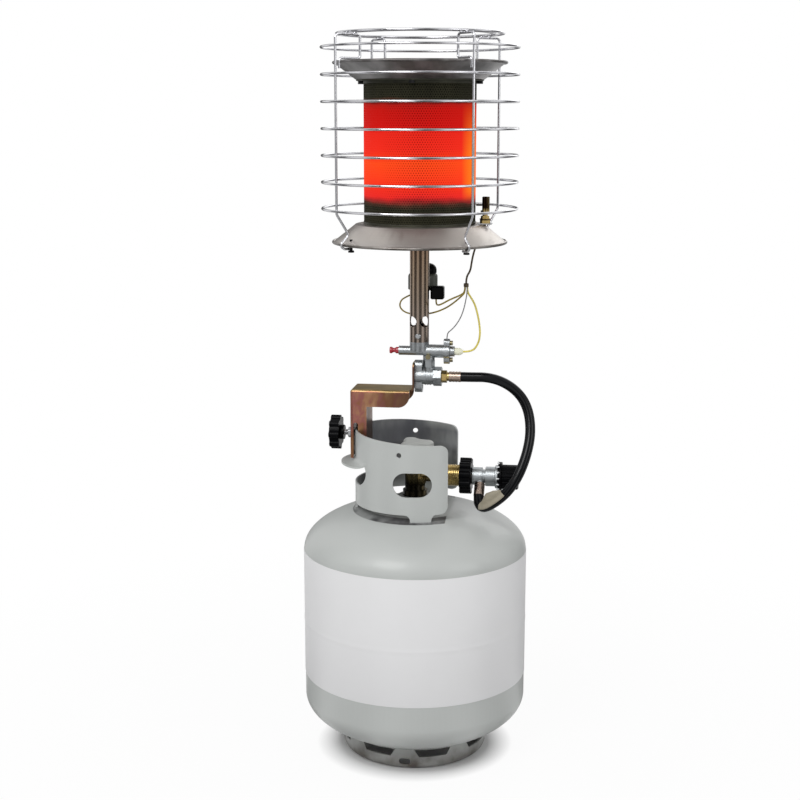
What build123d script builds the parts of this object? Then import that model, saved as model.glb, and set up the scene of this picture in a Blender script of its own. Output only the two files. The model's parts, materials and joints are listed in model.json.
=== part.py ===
from build123d import *
from math import atan, cos, degrees, pi, radians, sin, sqrt, tan
import os

# Tank-top infrared propane heater standing on its own gas cylinder, in millimetres.
# +Z is up, the origin is the middle of the foot ring's underside, and +X points through
# the opening in the cylinder's collar, where the regulator is screwed on.

# ------------------------------------------------------------------ cylinder
TANK_R = 155.0  # outside radius of the two pressed shells
TANK_WALL = 3.0
HEAD_DEPTH = 65.0  # height of each elliptical head
TANK_LOW = 15.0  # lowest point of the lower head above the ground
BARREL_TALL = 210.0  # straight side between the heads
SEAM_UP = 110.0  # girth seam above the start of the straight side
SEAM_LIP = 12.0  # part of the lower shell that slips inside the upper one
SLEEVE_WALL = 0.5  # thickness of the plain sleeve round the barrel
SLEEVE_UP = 32.5
SLEEVE_TALL = 177.0

BARREL_LOW = TANK_LOW + HEAD_DEPTH
BARREL_HIGH = BARREL_LOW + BARREL_TALL
SEAM_Z = BARREL_LOW + SEAM_UP
TANK_TOP = BARREL_HIGH + HEAD_DEPTH

# ------------------------------------------------------------------ foot ring
FOOT_R = 101.0
FOOT_WALL = 2.8
FOOT_CURL = 9.0  # outside radius of the inward roll at the ground
FOOT_LIP = 3.0  # flat left on the ground past the roll
NOTCH_COUNT = 8
NOTCH_SILL = 18.0  # height of a vent notch's sill
NOTCH_WIDTH = 39.0
NOTCH_SLOPE = 30.0  # lean of a notch's sides, degrees
DRAIN_LONG = 16.0
DRAIN_TALL = 8.4
DRAIN_Z = 11.6

# ------------------------------------------------------------------ collar
COLLAR_R = 83.0
COLLAR_WALL = 3.0
COLLAR_UP = 1.0  # lower edge of the band above the top of the cylinder
COLLAR_TALL = 102.0  # height of the band at its back
RIM_SLOPE = 0.062  # fall of the rim towards the opening
MOUTH_HALF = 50.2  # half of the opening, degrees
MOUTH_CORNER = 11.0
TAB_ANGLES = (-77.0, 77.0, 180.0)  # welded feet, degrees from +X
TAB_WIDE = 28.7
TAB_FILLET = 7.5
SIDE_SLOT_ANGLES = (-85.0, 85.0)
SIDE_SLOT_WIDE = 52.6
SIDE_SLOT_TALL = 33.5
SIDE_SLOT_UP = 41.5  # middle of the slot above the band's lower edge
PIN_HOLE_ANGLES = (-97.5, 97.5)
PIN_HOLE_R = 3.5
PIN_HOLE_UP = 82.0
HAND_HOLE_WIDE = 115.0
HAND_HOLE_TALL = 39.0
HAND_HOLE_UP = 48.5
GRIP_BEND = 12.0  # the hand hole's metal is turned out as a grip
GRIP_REACH = 20.0
GRIP_INSET = 0.2  # its root lies this far inside both faces of the wall

COLLAR_LOW = TANK_TOP + COLLAR_UP
RIM_Z = COLLAR_LOW + COLLAR_TALL

# ------------------------------------------------------------------ cylinder valve
BUNG_R = 24.0
BUNG_DOWN = 6.0
BUNG_UP = 9.0
SHANK_R = 13.3
SHANK_DOWN = 10.0
VALVE_FLANGE_R = 17.0
VALVE_FLANGE_TALL = 8.0
VALVE_BODY_R = 14.0
VALVE_BODY_TALL = 33.0
BONNET_FLAT = 22.0  # across flats
BONNET_TALL = 11.0
OUTLET_UP = 38.5  # outlet axis above the top of the cylinder
OUTLET_NECK_R = 10.0
OUTLET_NECK_END = 44.0
THREAD_R = 14.5
THREAD_END = 72.0
THREAD_CHAMFER = 1.5
OUTLET_BORE_R = 8.0
RISER_BORE_R = 5.0
SPINDLE_R = 4.0
RUN_FIT = 0.05  # radial clearance of a turning or sliding fit
FACE_FIT = 0.3  # gap between faces that pass each other
BLEED_X = 11.0
BLEED_DOWN = 8.0
BLEED_BOSS_R = 5.5
BLEED_BOSS_Y = 14.5
BLEED_SCREW_R = 2.5
BLEED_HEAD_R = 4.2
BLEED_HEAD = 2.4
DRIVER_SLOT = 1.2  # width of a screwdriver slot
RELIEF_Y = 18.0
RELIEF_BOSS_R = 9.0
RELIEF_FLAT = 16.0
RELIEF_LONG = 12.0
WHEEL_TIP = 26.0  # hand wheel: centre to the tip of a lobe
WHEEL_CORNER = 10.0
WHEEL_SCALLOP_R = 20.0  # hollow between two lobes
WHEEL_SCALLOP_IN = 3.0  # depth of that hollow
WHEEL_CHAMFER = 2.5
WHEEL_UP = 8.0  # above the bonnet
WHEEL_TALL = 17.0
WHEEL_HUB_R = 10.0
DIP_TUBE_LONG = 32.0
DIP_TUBE_BORE_R = 3.5
FLOAT_PIN_R = 1.5
FLOAT_EAR = 2.0  # half the thickness of the ear that carries the pin
FLOAT_EAR_HALF = 4.0  # half its height
FLOAT_ARM = 4.0  # square section of the float's arm
FLOAT_PIVOT_X = 8.5
FLOAT_PIVOT_UP = 18.0  # above the dip tube's end
FLOAT_ARM_LONG = 46.0
FLOAT_R = 11.0
FLOAT_LONG = 50.0

BUNG_TOP = TANK_TOP + BUNG_UP
BODY_LOW = BUNG_TOP + VALVE_FLANGE_TALL
BONNET_LOW = BODY_LOW + VALVE_BODY_TALL
BONNET_TOP = BONNET_LOW + BONNET_TALL
OUTLET_Z = TANK_TOP + OUTLET_UP
FLOAT_PIVOT_Z = TANK_TOP - SHANK_DOWN - DIP_TUBE_LONG + FLOAT_PIVOT_UP

# ------------------------------------------------------------------ regulator
NUT_R = 25.5
NUT_LOBES = 10
NUT_START = 63.2
NUT_BACK = 4.1  # thickness of the coupling nut's back wall
NIPPLE_FLANGE_R = 13.0
NIPPLE_FLANGE = 2.8
NIPPLE_TIP_R = 7.8
NIPPLE_TIP_START = 56.0
NIPPLE_NECK_R = 8.5
NIPPLE_STUB_R = 6.0
NIPPLE_STUB = 5.0
GAS_BORE_R = 3.0
REG_R = 12.2
REG_LONG = 14.3
REG_WAIST_R = 9.5
REG_WAIST = 4.5
DRUM_R = 13.5
DRUM_LONG = 13.5
DIAPHRAGM_R = 16.0
DIAPHRAGM = 4.0
STEM_R = 4.0
STEM_LONG = 20.0
DIAL_R = 20.5
DIAL_FLANGE = 4.7
DIAL_GRIP_R = 17.0
DIAL_LONG = 27.5
DIAL_RIBS = 18
PORT_BACK = 2.8  # hose port's axis before the end of the regulator's body
PORT_R = 6.5
PORT_OUT = 13.0
FERRULE_R = 7.2
FERRULE_LONG = 19.0
FERRULE_GROOVES = 3

NUT_WALL_X = THREAD_END + NIPPLE_FLANGE + FACE_FIT
REG_X = NUT_WALL_X + NUT_BACK + FACE_FIT
PORT_X = REG_X + REG_LONG - PORT_BACK
DRUM_X = REG_X + REG_LONG + REG_WAIST
DIAPHRAGM_X = DRUM_X + DRUM_LONG
DIAL_X = DIAPHRAGM_X + DIAPHRAGM + FACE_FIT

# ------------------------------------------------------------------ bracket and clamp
SHEET = 2.0
BEND = 4.0  # outside radius of the bracket's folds
PLATE_UP = 57.0  # top of the bracket above the collar's rim
BRACKET_HALF = 25.0
SKIRT_TALL = 23.5
SKIRT_SHORT = 5.0  # the side skirts stop this far behind the upright tab
SKIRT_CORNER = 16.0
WEB_GAP = 2.0  # between the bracket's end web and the collar
BOX_DEEP = 23.0
BOX_BELOW_RIM = 39.0
SLOT_WIDE = 6.45
SLOT_ABOVE_RIM = 11.0
TAB_TALL = 37.0
TAB_HALF = 17.0
TAB_BEND = 5.0
TAB_CORNER = 7.0
CLAMP_BELOW_RIM = 8.0
CLAMP_R = 4.0
CLAMP_NUT_FLAT = 13.0
CLAMP_NUT_TALL = 6.5
CLAMP_SCREW_LONG = 33.0
CLAMP_TIP_GAP = 0.1
KNOB_R = 24.0
KNOB_LOBES = 8
KNOB_TALL = 14.0
KNOB_HUB_R = 10.0
KNOB_HUB_TALL = 5.0
KNOB_CAP = 2.0  # closed wall outside the screw's end

PLATE_TOP = RIM_Z + PLATE_UP
PLATE_LOW = PLATE_TOP - SHEET
WEB_X = -(COLLAR_R + WEB_GAP + SHEET)
BOX_X = WEB_X + BOX_DEEP
CLAMP_Z = RIM_Z - CLAMP_BELOW_RIM
CLAMP_TIP_X = -(COLLAR_R + CLAMP_TIP_GAP)
KNOB_X = CLAMP_TIP_X - CLAMP_SCREW_LONG - KNOB_CAP

# ------------------------------------------------------------------ manifold and safety valve
MANIFOLD_UP = 17.0  # gas axis above the bracket's plate
LOBE_R = 8.4
LOBE_SPREAD = 14.0
LOBE_THICK = 10.0
LOBE_SCREW_R = 2.5
LOBE_HEAD_R = 4.2
LOBE_HEAD = 3.0
MANIFOLD_R = 11.3
MANIFOLD_LONG = 25.5
MANIFOLD_RIBS = 3  # raised rings cast round its middle
RIB_PITCH = 3.4
RIB_WIDE = 1.8
RIB_OUT = 0.8
OCTAGON_FLAT = 24.8
OCTAGON_LONG = 11.0
HOSE_FITTING_FLAT = 15.0
HOSE_FITTING_LONG = 10.4
UPPER_FERRULE_LONG = 16.0
FITTING_STUB_R = 5.0
FITTING_STUB = 8.0
RISER_X = 18.7
RISER_BOSS_R = 9.0
RISER_BOSS_UP = 13.0
RISER_R = 8.0
TAP_SCREW_R = 3.2
TAP_SCREW_LONG = 3.0
TAP_SCREW_DOWN = 7.0
VALVE_UP = 35.0  # safety valve's axis above the gas axis
BUTTON_END_X = -22.6  # mouth of the button's guide
GUIDE_R = 6.3
BARREL_X = 11.9
BARREL_R = 9.0
COVER_X = 39.4
COVER_R = 10.5
COVER_LOBE_R = 5.75
COVER_PLATE = 8.0
COVER_BOSS_R = 7.0
COVER_BOSS = 6.5
COVER_SCREW_SPREAD = 11.5
COVER_SCREW_R = 1.8
COVER_SCREW_HEAD_R = 3.2
COVER_SCREW_HEAD = 4.0
CONNECTOR_R = 5.0
CONNECTOR_LONG = 11.6
BUTTON_R = 4.5
BUTTON_WAIST_R = 3.0
BUTTON_OUT = 12.8
BUTTON_FIT = 0.08
BUTTON_TRAVEL = 6.0
BUTTON_STEM_R = 2.0
BUTTON_STEM = 19.0
SPRING_ROOM = 14.6
SPRING_WIRE_R = 0.45
SPRING_R = 3.3
SPRING_TURNS = 6

MANIFOLD_Z = PLATE_TOP + MANIFOLD_UP
VALVE_Z = MANIFOLD_Z + VALVE_UP

# ------------------------------------------------------------------ mixing tube and tip switch
HEAD_X = 5.5  # axis of the tube and of everything that it carries
TUBE_R = 13.15
TUBE_WALL = 1.5
TUBE_UP = 13.0  # foot of the tube above the safety valve's axis
TUBE_LONG = 161.0
SPIGOT_TALL = 17.0
AIR_HOLES = 4
AIR_HOLE_R = 7.5
AIR_HOLE_UP = 28.0
TUBE_SCREW_UP = 8.5
TUBE_SCREW_R = 2.0
TUBE_SCREW_HEAD_R = 4.0
TUBE_SCREW_HEAD = 2.6
INJECTOR_FLAT = 9.0
INJECTOR_TALL = 8.0
INJECTOR_CONE = 4.0
JET_R = 0.6
CAN_R = 20.3
CAN_UP = 67.5  # foot of the switch can above the foot of the tube
CAN_TALL = 22.5
CAN_SHOULDER = 5.0
CAP_R = 15.0
CAP_TALL = 13.0
CAP_SHIFT = 4.0
CLIP_THICK = 1.5
CLIP_HALF = 9.0
CLIP_TALL = 14.0
BLOCK_WIDE = 18.5
BLOCK_DEEP = 14.0
BLOCK_TALL = 18.0
BLOCK_DOWN = 11.0  # its foot below the foot of the can
BLOCK_ROUND = 2.5

TUBE_Z = VALVE_Z + TUBE_UP
CAN_Z = TUBE_Z + CAN_UP
CAN_Y = TUBE_R + CLIP_THICK + CAN_R

# ------------------------------------------------------------------ heating head
TUBE_PAST_DISH = 1.0
DISH_SHEET = 1.2
DISH_BEAD_R = 2.0
LOWER_FLAT_R = 86.0
LOWER_RIM_R = 116.0
LOWER_DROP = 24.0
UPPER_FLAT_R = 85.0
UPPER_RIM_R = 114.0
UPPER_RISE = 22.0
DISH_BEND = 3.5
SCREEN_R = 75.0
SCREEN_WALL = 1.0
SCREEN_TALL = 187.5
INNER_SCREEN_R = 60.0
CAP_PLATE_R = 84.5
CAP_PLATE = 1.5
DISH_SCREWS = 4
DISH_SCREW_RING = 79.4
DISH_SCREW_R = 2.0
DISH_SCREW_FLAT = 7.0
DISH_SCREW_HEAD = 4.0

DISH_Z = TUBE_Z + TUBE_LONG - TUBE_PAST_DISH
CAP_Z = DISH_Z + SCREEN_TALL
BOWL_Z = CAP_Z + CAP_PLATE

# ------------------------------------------------------------------ wire guard
WIRE_R = 1.65
RING_R = 130.5
RING_COUNT = 7
RING_PITCH = 35.05
RING_UP = 20.5  # lowest ring above the lower dish's flat
ROD_COUNT = 4
ROD_FIRST = 39.5  # bearing of the first rod from +X
ROD_TOP_UP = 34.0  # top of the guard above the upper dish's rim
LOOP_R = 91.0  # where a rod's end turns down to the dish
CLIP_OUT = 5.5  # where the clip passes outside a rim
CLIP_DOWN = 9.0
WAIST_R = 109.0  # where a rod is drawn in above the lower rim
WAIST_UP = 13.0
HOOK_IN = 10.0
HOOK_TURN = 4.5  # how far the hook's bend reaches in
CLIP_TAIL = 4.0  # end of the clip past its bend
TOP_RING_R = 110.0
INNER_RING_R = 98.0
GUARD_SCREW_R = 2.0
GUARD_SCREW_HEAD_R = 4.0
GUARD_SCREW_HEAD = 2.5

ROD_R = RING_R - 2 * WIRE_R
LOWER_RIM_Z = DISH_Z - LOWER_DROP
UPPER_RIM_Z = BOWL_Z + UPPER_RISE
GUARD_TOP_Z = UPPER_RIM_Z + ROD_TOP_UP
HOOK_R = LOWER_RIM_R + DISH_BEAD_R + WIRE_R + FACE_FIT
HOOK_Z = LOWER_RIM_Z - DISH_BEAD_R - WIRE_R - FACE_FIT

# ------------------------------------------------------------------ flame sensor
SHELF_GAP = 2.5  # between the screen and the inner end of the sensor's shelf
SHELF_END = 97.5  # its outer end, from the head's axis
SHELF_HALF = 8.0
SHELF_THICK = 1.5
SENSOR_OUT = 88.0
SENSOR_NUT_FLAT = 12.0
SENSOR_NUT = 5.0
SENSOR_WASHER_R = 7.2
SENSOR_WASHER = 1.2
LOCK_NUT_FLAT = 10.0
LOCK_NUT = 3.6
SENSOR_NECK_R = 3.5
SENSOR_NECK = 10.0
HOOD_R = 6.0
HOOD_WALL = 0.8
HOOD_TALL = 20.0
HOOD_MOUTH = 3.6  # where its side is cut open, from its axis
PROBE_R = 1.2
PROBE_UP = 24.0
PROBE_LONG = 12.0
SENSOR_TAIL_R = 2.5
LEAD_HOLE_R = 3.5

# ------------------------------------------------------------------ hose and leads
HOSE_R = 6.8
LEAD_R = 1.3
WIRE_LEAD_R = 1.1
FINE_LEAD_R = 0.8
SLEEVE_LEAD_R = 3.4
SLEEVE_LEAD_LONG = 5.0
BEND_SHARE = 0.45  # share of a run that a cord's arc takes

BASE = (Align.CENTER, Align.CENTER, Align.MIN)


def rod(radius, low, high):
    """Round bar standing on Z."""
    return Pos(0, 0, low) * Cylinder(radius, high - low, align=BASE)


def tube(radius, bore, low, high):
    return rod(radius, low, high) - rod(bore, low, high)


def hexagon(flats, low, high):
    return Pos(0, 0, low) * extrude(RegularPolygon(flats / 2, 6, major_radius=False), high - low)


def block(x_low, x_high, half_y, z_low, z_high):
    middle = Pos((x_low + x_high) / 2, 0, (z_low + z_high) / 2)
    return middle * Box(x_high - x_low, 2 * half_y, z_high - z_low)


def turned(*corners):
    """Solid turned about Z from an outline of (radius, height) corners."""
    outline = Polyline(*corners, close=True)
    return revolve(Plane.XZ * make_face(outline), Axis.Z)


def along_x(part, height, y=0.0):
    """Lays a part that was made along Z down along +X at a height."""
    return Pos(0, y, height) * Rotation(0, 90, 0) * part


def along_y(part, x, height):
    """Lays a part that was made along Z down along +Y."""
    return Pos(x, 0, height) * Rotation(-90, 0, 0) * part


def on_head(part):
    return Pos(HEAD_X, 0, 0) * part


def round_about(part, count, first=0.0):
    """Copies of a part set evenly round Z."""
    return [Rotation(0, 0, first + 360 * i / count) * part for i in range(count)]


def sheet_section(points, bend, wall, side=Side.LEFT):
    """Section of bent sheet: one face follows the points, the wall lies on the given side."""
    line = FilletPolyline(*points, radius=bend)
    return make_face(offset(line, amount=wall, side=side, closed=True))


def lobed(radius, lobes, high):
    """Moulded grip: a disc whose edge is a row of round lobes."""
    lobe = radius * 0.2
    outline = Circle(radius - lobe * 0.8) + PolarLocations(radius - lobe, lobes) * Circle(lobe)
    return extrude(outline, high)


def wire(points, radius, bends):
    """Round wire bent along points, with one bend radius for each corner."""
    path = FilletPolyline(*points, radius=bends)
    return sweep(Plane(origin=path @ 0, z_dir=path % 0) * Circle(radius), path=path)


def cord_tube(name, points, radius):
    """Cord of straight runs joined by the widest arcs that the runs allow."""
    runs = [Vector(*b) - Vector(*a) for a, b in zip(points, points[1:])]
    arcs = []
    for before, after in zip(runs, runs[1:]):
        turn = radians(before.get_angle(after))
        arcs.append(BEND_SHARE * min(before.length, after.length) / tan(turn / 2))
    tightest = min(arcs)
    path = FilletPolyline(*points, radius=arcs)
    cord = sweep(Plane(origin=path @ 0, z_dir=path % 0) * Circle(radius), path=path)
    share = cord.volume / (pi * radius**2 * path.length)
    print(f"{name}: {path.length:.0f} long, tightest {tightest:.1f}, volume share {share:.4f}")
    print("   arcs", [round(arc) for arc in arcs], "runs", [round(run.length) for run in runs])
    return cord


# ------------------------------------------------------------------ cylinder
def capsule(radius, head):
    """Barrel between two elliptical heads."""
    edges = [
        EllipticalCenterArc((0, BARREL_LOW), radius, head, start_angle=-90, arc_size=90),
        Line((radius, BARREL_LOW), (radius, BARREL_HIGH)),
        EllipticalCenterArc((0, BARREL_HIGH), radius, head, start_angle=0, arc_size=90),
        Line((0, BARREL_HIGH + head), (0, BARREL_LOW - head)),
    ]
    return revolve(Plane.XZ * make_face(edges), Axis.Z)


def tank_wall():
    return capsule(TANK_R, HEAD_DEPTH) - capsule(TANK_R - TANK_WALL, HEAD_DEPTH - TANK_WALL)


def tank_bottom_shell():
    lower = split(tank_wall(), bisect_by=Plane.XY.offset(SEAM_Z), keep=Keep.BOTTOM)
    bore = TANK_R - TANK_WALL
    lip = tube(bore, bore - TANK_WALL, SEAM_Z - SEAM_LIP / 2, SEAM_Z + SEAM_LIP)
    return lower + lip


def tank_top_shell():
    upper = split(tank_wall(), bisect_by=Plane.XY.offset(SEAM_Z), keep=Keep.TOP)
    return upper - rod(BUNG_R, BARREL_HIGH, TANK_TOP + TANK_WALL)


def label_sleeve():
    low = BARREL_LOW + SLEEVE_UP
    return tube(TANK_R + SLEEVE_WALL, TANK_R, low, low + SLEEVE_TALL)


def foot_ring():
    inner = FOOT_R - FOOT_CURL - FOOT_LIP
    corners = [(inner, 0), (FOOT_R, 0), (FOOT_R, BARREL_LOW)]
    ring = revolve(Plane.XZ * sheet_section(corners, FOOT_CURL, FOOT_WALL), Axis.Z)
    ring -= capsule(TANK_R, HEAD_DEPTH)
    half = NOTCH_WIDTH / 2
    rise = BARREL_LOW - NOTCH_SILL
    lean = rise * tan(radians(NOTCH_SLOPE))
    sill, top = NOTCH_SILL, NOTCH_SILL + rise
    outline = Polyline((-half, sill), (half, sill), (half + lean, top), (-half - lean, top), close=True)
    notch = extrude(Plane.YZ * make_face(outline), 2 * FOOT_R)
    ring -= round_about(notch, NOTCH_COUNT, 180 / NOTCH_COUNT)
    drain = Plane.XZ * Pos(0, DRAIN_Z) * SlotOverall(DRAIN_LONG, DRAIN_TALL)
    return ring - extrude(drain, 2 * FOOT_R, both=True)


# ------------------------------------------------------------------ collar
def collar_cut(angle, width, height, up):
    """Slot-shaped cutter through one side of the collar."""
    slot = Plane.YZ * Pos(0, COLLAR_LOW + up) * SlotOverall(width, height)
    return Rotation(0, 0, angle) * extrude(slot, 2 * COLLAR_R)


def grip():
    """Crescent of sheet turned outward from the top of the hand hole."""
    hole_top = COLLAR_LOW + HAND_HOLE_UP + HAND_HOLE_TALL / 2
    reach = COLLAR_R + GRIP_REACH
    face = COLLAR_R - GRIP_INSET
    corners = [
        (face, hole_top + COLLAR_WALL),
        (face, hole_top - GRIP_BEND),
        (reach, hole_top - GRIP_BEND),
    ]
    section = sheet_section(corners, GRIP_BEND, COLLAR_WALL - 2 * GRIP_INSET, Side.RIGHT)
    half = HAND_HOLE_WIDE / 2
    along = sqrt(COLLAR_R**2 - half**2)
    shift = (reach**2 - COLLAR_R**2) / (2 * (reach - along))
    edge = Pos(-shift, 0, 0) * rod(reach - shift, COLLAR_LOW, RIM_Z)
    return revolve(Plane.XZ * section, Axis.Z) & edge


def collar():
    inner = COLLAR_R - COLLAR_WALL
    band = tube(COLLAR_R, inner, COLLAR_LOW, RIM_Z)
    below = tube(COLLAR_R, inner, BARREL_HIGH, COLLAR_LOW)
    foot = block(inner - COLLAR_WALL, COLLAR_R + COLLAR_WALL, TAB_WIDE / 2, BARREL_HIGH, COLLAR_LOW)
    for angle in TAB_ANGLES:
        band += below & (Rotation(0, 0, angle) * foot)
    lean = degrees(atan(RIM_SLOPE))
    rim = Plane(origin=(-COLLAR_R, 0, RIM_Z), z_dir=(sin(radians(lean)), 0, cos(radians(lean))))
    band = split(band, bisect_by=rim, keep=Keep.BOTTOM)
    far = 2 * COLLAR_R
    side = far * tan(radians(MOUTH_HALF))
    mouth = Polyline((0, 0), (far, -side), (far, side), close=True)
    band -= Pos(0, 0, COLLAR_LOW - 1) * extrude(make_face(mouth), COLLAR_TALL + 2)

    def short(edge):
        return edge.length < COLLAR_WALL * 1.2

    low_corners = band.edges().filter_by(lambda e: short(e) and abs(e.center().Z - COLLAR_LOW) < 0.1)
    mouth_x = (inner + COLLAR_R) / 2 * cos(radians(MOUTH_HALF))
    mouth_ends = band.edges().filter_by(lambda e: short(e) and abs(e.center().X - mouth_x) < 1.5)
    tab_corners = [e for e in low_corners if abs(e.center().X - mouth_x) >= 1.5]
    band = fillet(mouth_ends, MOUTH_CORNER)
    tab_again = band.edges().filter_by(
        lambda e: any((e.center() - other.center()).length < 0.01 for other in tab_corners)
    )
    band = fillet(tab_again, TAB_FILLET)
    for angle in SIDE_SLOT_ANGLES:
        band -= collar_cut(angle, SIDE_SLOT_WIDE, SIDE_SLOT_TALL, SIDE_SLOT_UP)
    for angle in PIN_HOLE_ANGLES:
        hole = along_x(rod(PIN_HOLE_R, 0, 2 * COLLAR_R), COLLAR_LOW + PIN_HOLE_UP)
        band -= Rotation(0, 0, angle) * hole
    band -= collar_cut(180, HAND_HOLE_WIDE, HAND_HOLE_TALL, HAND_HOLE_UP)
    band += grip()
    return band - capsule(TANK_R, HEAD_DEPTH)


# ------------------------------------------------------------------ cylinder valve
def valve_bung():
    return tube(BUNG_R, SHANK_R, TANK_TOP - BUNG_DOWN, BUNG_TOP)


def tank_valve_body():
    low = TANK_TOP - SHANK_DOWN
    body = rod(SHANK_R, low, BUNG_TOP)
    body += rod(VALVE_FLANGE_R, BUNG_TOP, BODY_LOW)
    body += rod(VALVE_BODY_R, BODY_LOW, BONNET_LOW)
    body += hexagon(BONNET_FLAT, BONNET_LOW, BONNET_TOP)
    body += along_x(rod(OUTLET_NECK_R, 0, OUTLET_NECK_END), OUTLET_Z)
    thread = turned(
        (0, OUTLET_NECK_END),
        (THREAD_R, OUTLET_NECK_END),
        (THREAD_R, THREAD_END - THREAD_CHAMFER),
        (THREAD_R - THREAD_CHAMFER, THREAD_END),
        (0, THREAD_END),
    )
    body += along_x(thread, OUTLET_Z)
    body += along_y(rod(RELIEF_BOSS_R, 0, RELIEF_Y), 0, OUTLET_Z)
    body += along_y(rod(BLEED_BOSS_R, -BLEED_BOSS_Y, 0), BLEED_X, OUTLET_Z - BLEED_DOWN)
    body -= rod(RISER_BORE_R, low, OUTLET_Z)
    body -= along_x(rod(OUTLET_BORE_R, 0, THREAD_END), OUTLET_Z)
    body -= rod(SPINDLE_R + RUN_FIT, OUTLET_Z, BONNET_TOP)
    bleed = rod(BLEED_SCREW_R + RUN_FIT, -BLEED_BOSS_Y, -BLEED_BOSS_Y / 2)
    return body - along_y(bleed, BLEED_X, OUTLET_Z - BLEED_DOWN)


def bleed_screw():
    seat = -BLEED_BOSS_Y - FACE_FIT
    head = rod(BLEED_HEAD_R, seat - BLEED_HEAD, seat)
    head -= Pos(0, 0, seat - BLEED_HEAD) * Box(2 * BLEED_HEAD_R, DRIVER_SLOT, BLEED_HEAD)
    screw = head + rod(BLEED_SCREW_R, seat, -BLEED_BOSS_Y / 2 - FACE_FIT)
    return along_y(screw, BLEED_X, OUTLET_Z - BLEED_DOWN)


def relief_valve():
    plug = hexagon(RELIEF_FLAT, RELIEF_Y, RELIEF_Y + RELIEF_LONG / 2)
    plug += rod(RELIEF_FLAT * 0.4, RELIEF_Y, RELIEF_Y + RELIEF_LONG)
    plug -= rod(RELIEF_FLAT * 0.2, RELIEF_Y + RELIEF_LONG / 2, RELIEF_Y + RELIEF_LONG)
    return along_y(plug, 0, OUTLET_Z)


def valve_spindle():
    return rod(SPINDLE_R, OUTLET_Z + SPINDLE_R, BONNET_TOP + WHEEL_UP + WHEEL_TALL - SHEET)


def tank_handwheel():
    low = BONNET_TOP + WHEEL_UP
    triangle = RegularPolygon(WHEEL_TIP + WHEEL_CORNER, 3)
    outline = fillet(triangle.vertices(), WHEEL_CORNER)
    flat = (WHEEL_TIP + WHEEL_CORNER) / 2
    hollow_r = flat + WHEEL_SCALLOP_R - WHEEL_SCALLOP_IN
    scallop = PolarLocations(hollow_r, 3, start_angle=60) * Circle(WHEEL_SCALLOP_R)
    wheel = Pos(0, 0, low) * extrude(outline - scallop, WHEEL_TALL)
    wheel = chamfer(wheel.edges().group_by(Axis.Z)[-1], WHEEL_CHAMFER)
    wheel += rod(WHEEL_HUB_R, BONNET_TOP + FACE_FIT, low)
    return wheel - rod(SPINDLE_R, BONNET_TOP, low + WHEEL_TALL - SHEET)


def dip_tube():
    top = TANK_TOP - SHANK_DOWN + RISER_BORE_R * 2
    low = TANK_TOP - SHANK_DOWN - DIP_TUBE_LONG
    pipe = tube(RISER_BORE_R, DIP_TUBE_BORE_R, low, top)
    ear_low, ear_high = FLOAT_PIVOT_Z - FLOAT_EAR_HALF, FLOAT_PIVOT_Z + FLOAT_EAR_HALF
    ear = block(DIP_TUBE_BORE_R, FLOAT_PIVOT_X + 2 * FLOAT_PIN_R, FLOAT_EAR, ear_low, ear_high)
    pipe += ear - rod(DIP_TUBE_BORE_R, low, top)
    pin_end = FLOAT_EAR + FLOAT_ARM + 2 * FACE_FIT
    pin = rod(FLOAT_PIN_R, 0, pin_end) + rod(FLOAT_PIN_R * 1.8, pin_end, pin_end + FLOAT_PIN_R / 2)
    return pipe + along_y(pin, FLOAT_PIVOT_X, FLOAT_PIVOT_Z)


def level_float():
    start = FLOAT_EAR + FACE_FIT
    eye = rod(FLOAT_PIN_R * 2.5, start, start + FLOAT_ARM)
    middle = (FLOAT_PIVOT_X, start + FLOAT_ARM / 2, FLOAT_PIVOT_Z - FLOAT_ARM_LONG / 2)
    arm = Pos(*middle) * Box(FLOAT_ARM, FLOAT_ARM, FLOAT_ARM_LONG)
    bore = rod(FLOAT_PIN_R + RUN_FIT, 0, start + 2 * FLOAT_ARM)
    top = FLOAT_PIVOT_Z - FLOAT_ARM_LONG
    ball = Pos(FLOAT_PIVOT_X, start + FLOAT_ARM / 2, 0) * rod(FLOAT_R, top - FLOAT_LONG, top)
    ball = fillet(ball.edges(), FLOAT_R * 0.4)
    arm += along_y(eye, FLOAT_PIVOT_X, FLOAT_PIVOT_Z)
    return arm - along_y(bore, FLOAT_PIVOT_X, FLOAT_PIVOT_Z) + ball


# ------------------------------------------------------------------ regulator
def coupling_nut():
    end = NUT_WALL_X + NUT_BACK
    nut = Pos(0, 0, NUT_START) * lobed(NUT_R, NUT_LOBES, end - NUT_START)
    nut = chamfer(nut.edges().group_by(Axis.Z)[-1], 1.0)
    nut -= rod(THREAD_R + RUN_FIT, NUT_START, NUT_WALL_X)
    nut -= rod(NIPPLE_NECK_R + RUN_FIT, NUT_WALL_X, end)
    return along_x(nut, OUTLET_Z)


def regulator_nipple():
    nipple = turned(
        (GAS_BORE_R, NIPPLE_TIP_START),
        (NIPPLE_TIP_R - 2.5, NIPPLE_TIP_START),
        (NIPPLE_TIP_R, NIPPLE_TIP_START + 5),
        (NIPPLE_TIP_R, THREAD_END),
        (NIPPLE_FLANGE_R, THREAD_END),
        (NIPPLE_FLANGE_R, THREAD_END + NIPPLE_FLANGE),
        (NIPPLE_NECK_R, THREAD_END + NIPPLE_FLANGE),
        (NIPPLE_NECK_R, REG_X),
        (NIPPLE_STUB_R, REG_X),
        (NIPPLE_STUB_R, REG_X + NIPPLE_STUB),
        (GAS_BORE_R, REG_X + NIPPLE_STUB),
    )
    return along_x(nipple, OUTLET_Z)


def hose_port():
    """Frame whose +Z leaves the regulator down and towards the front."""
    return Pos(PORT_X, 0, OUTLET_Z) * Rotation(135, 0, 0)


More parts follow.
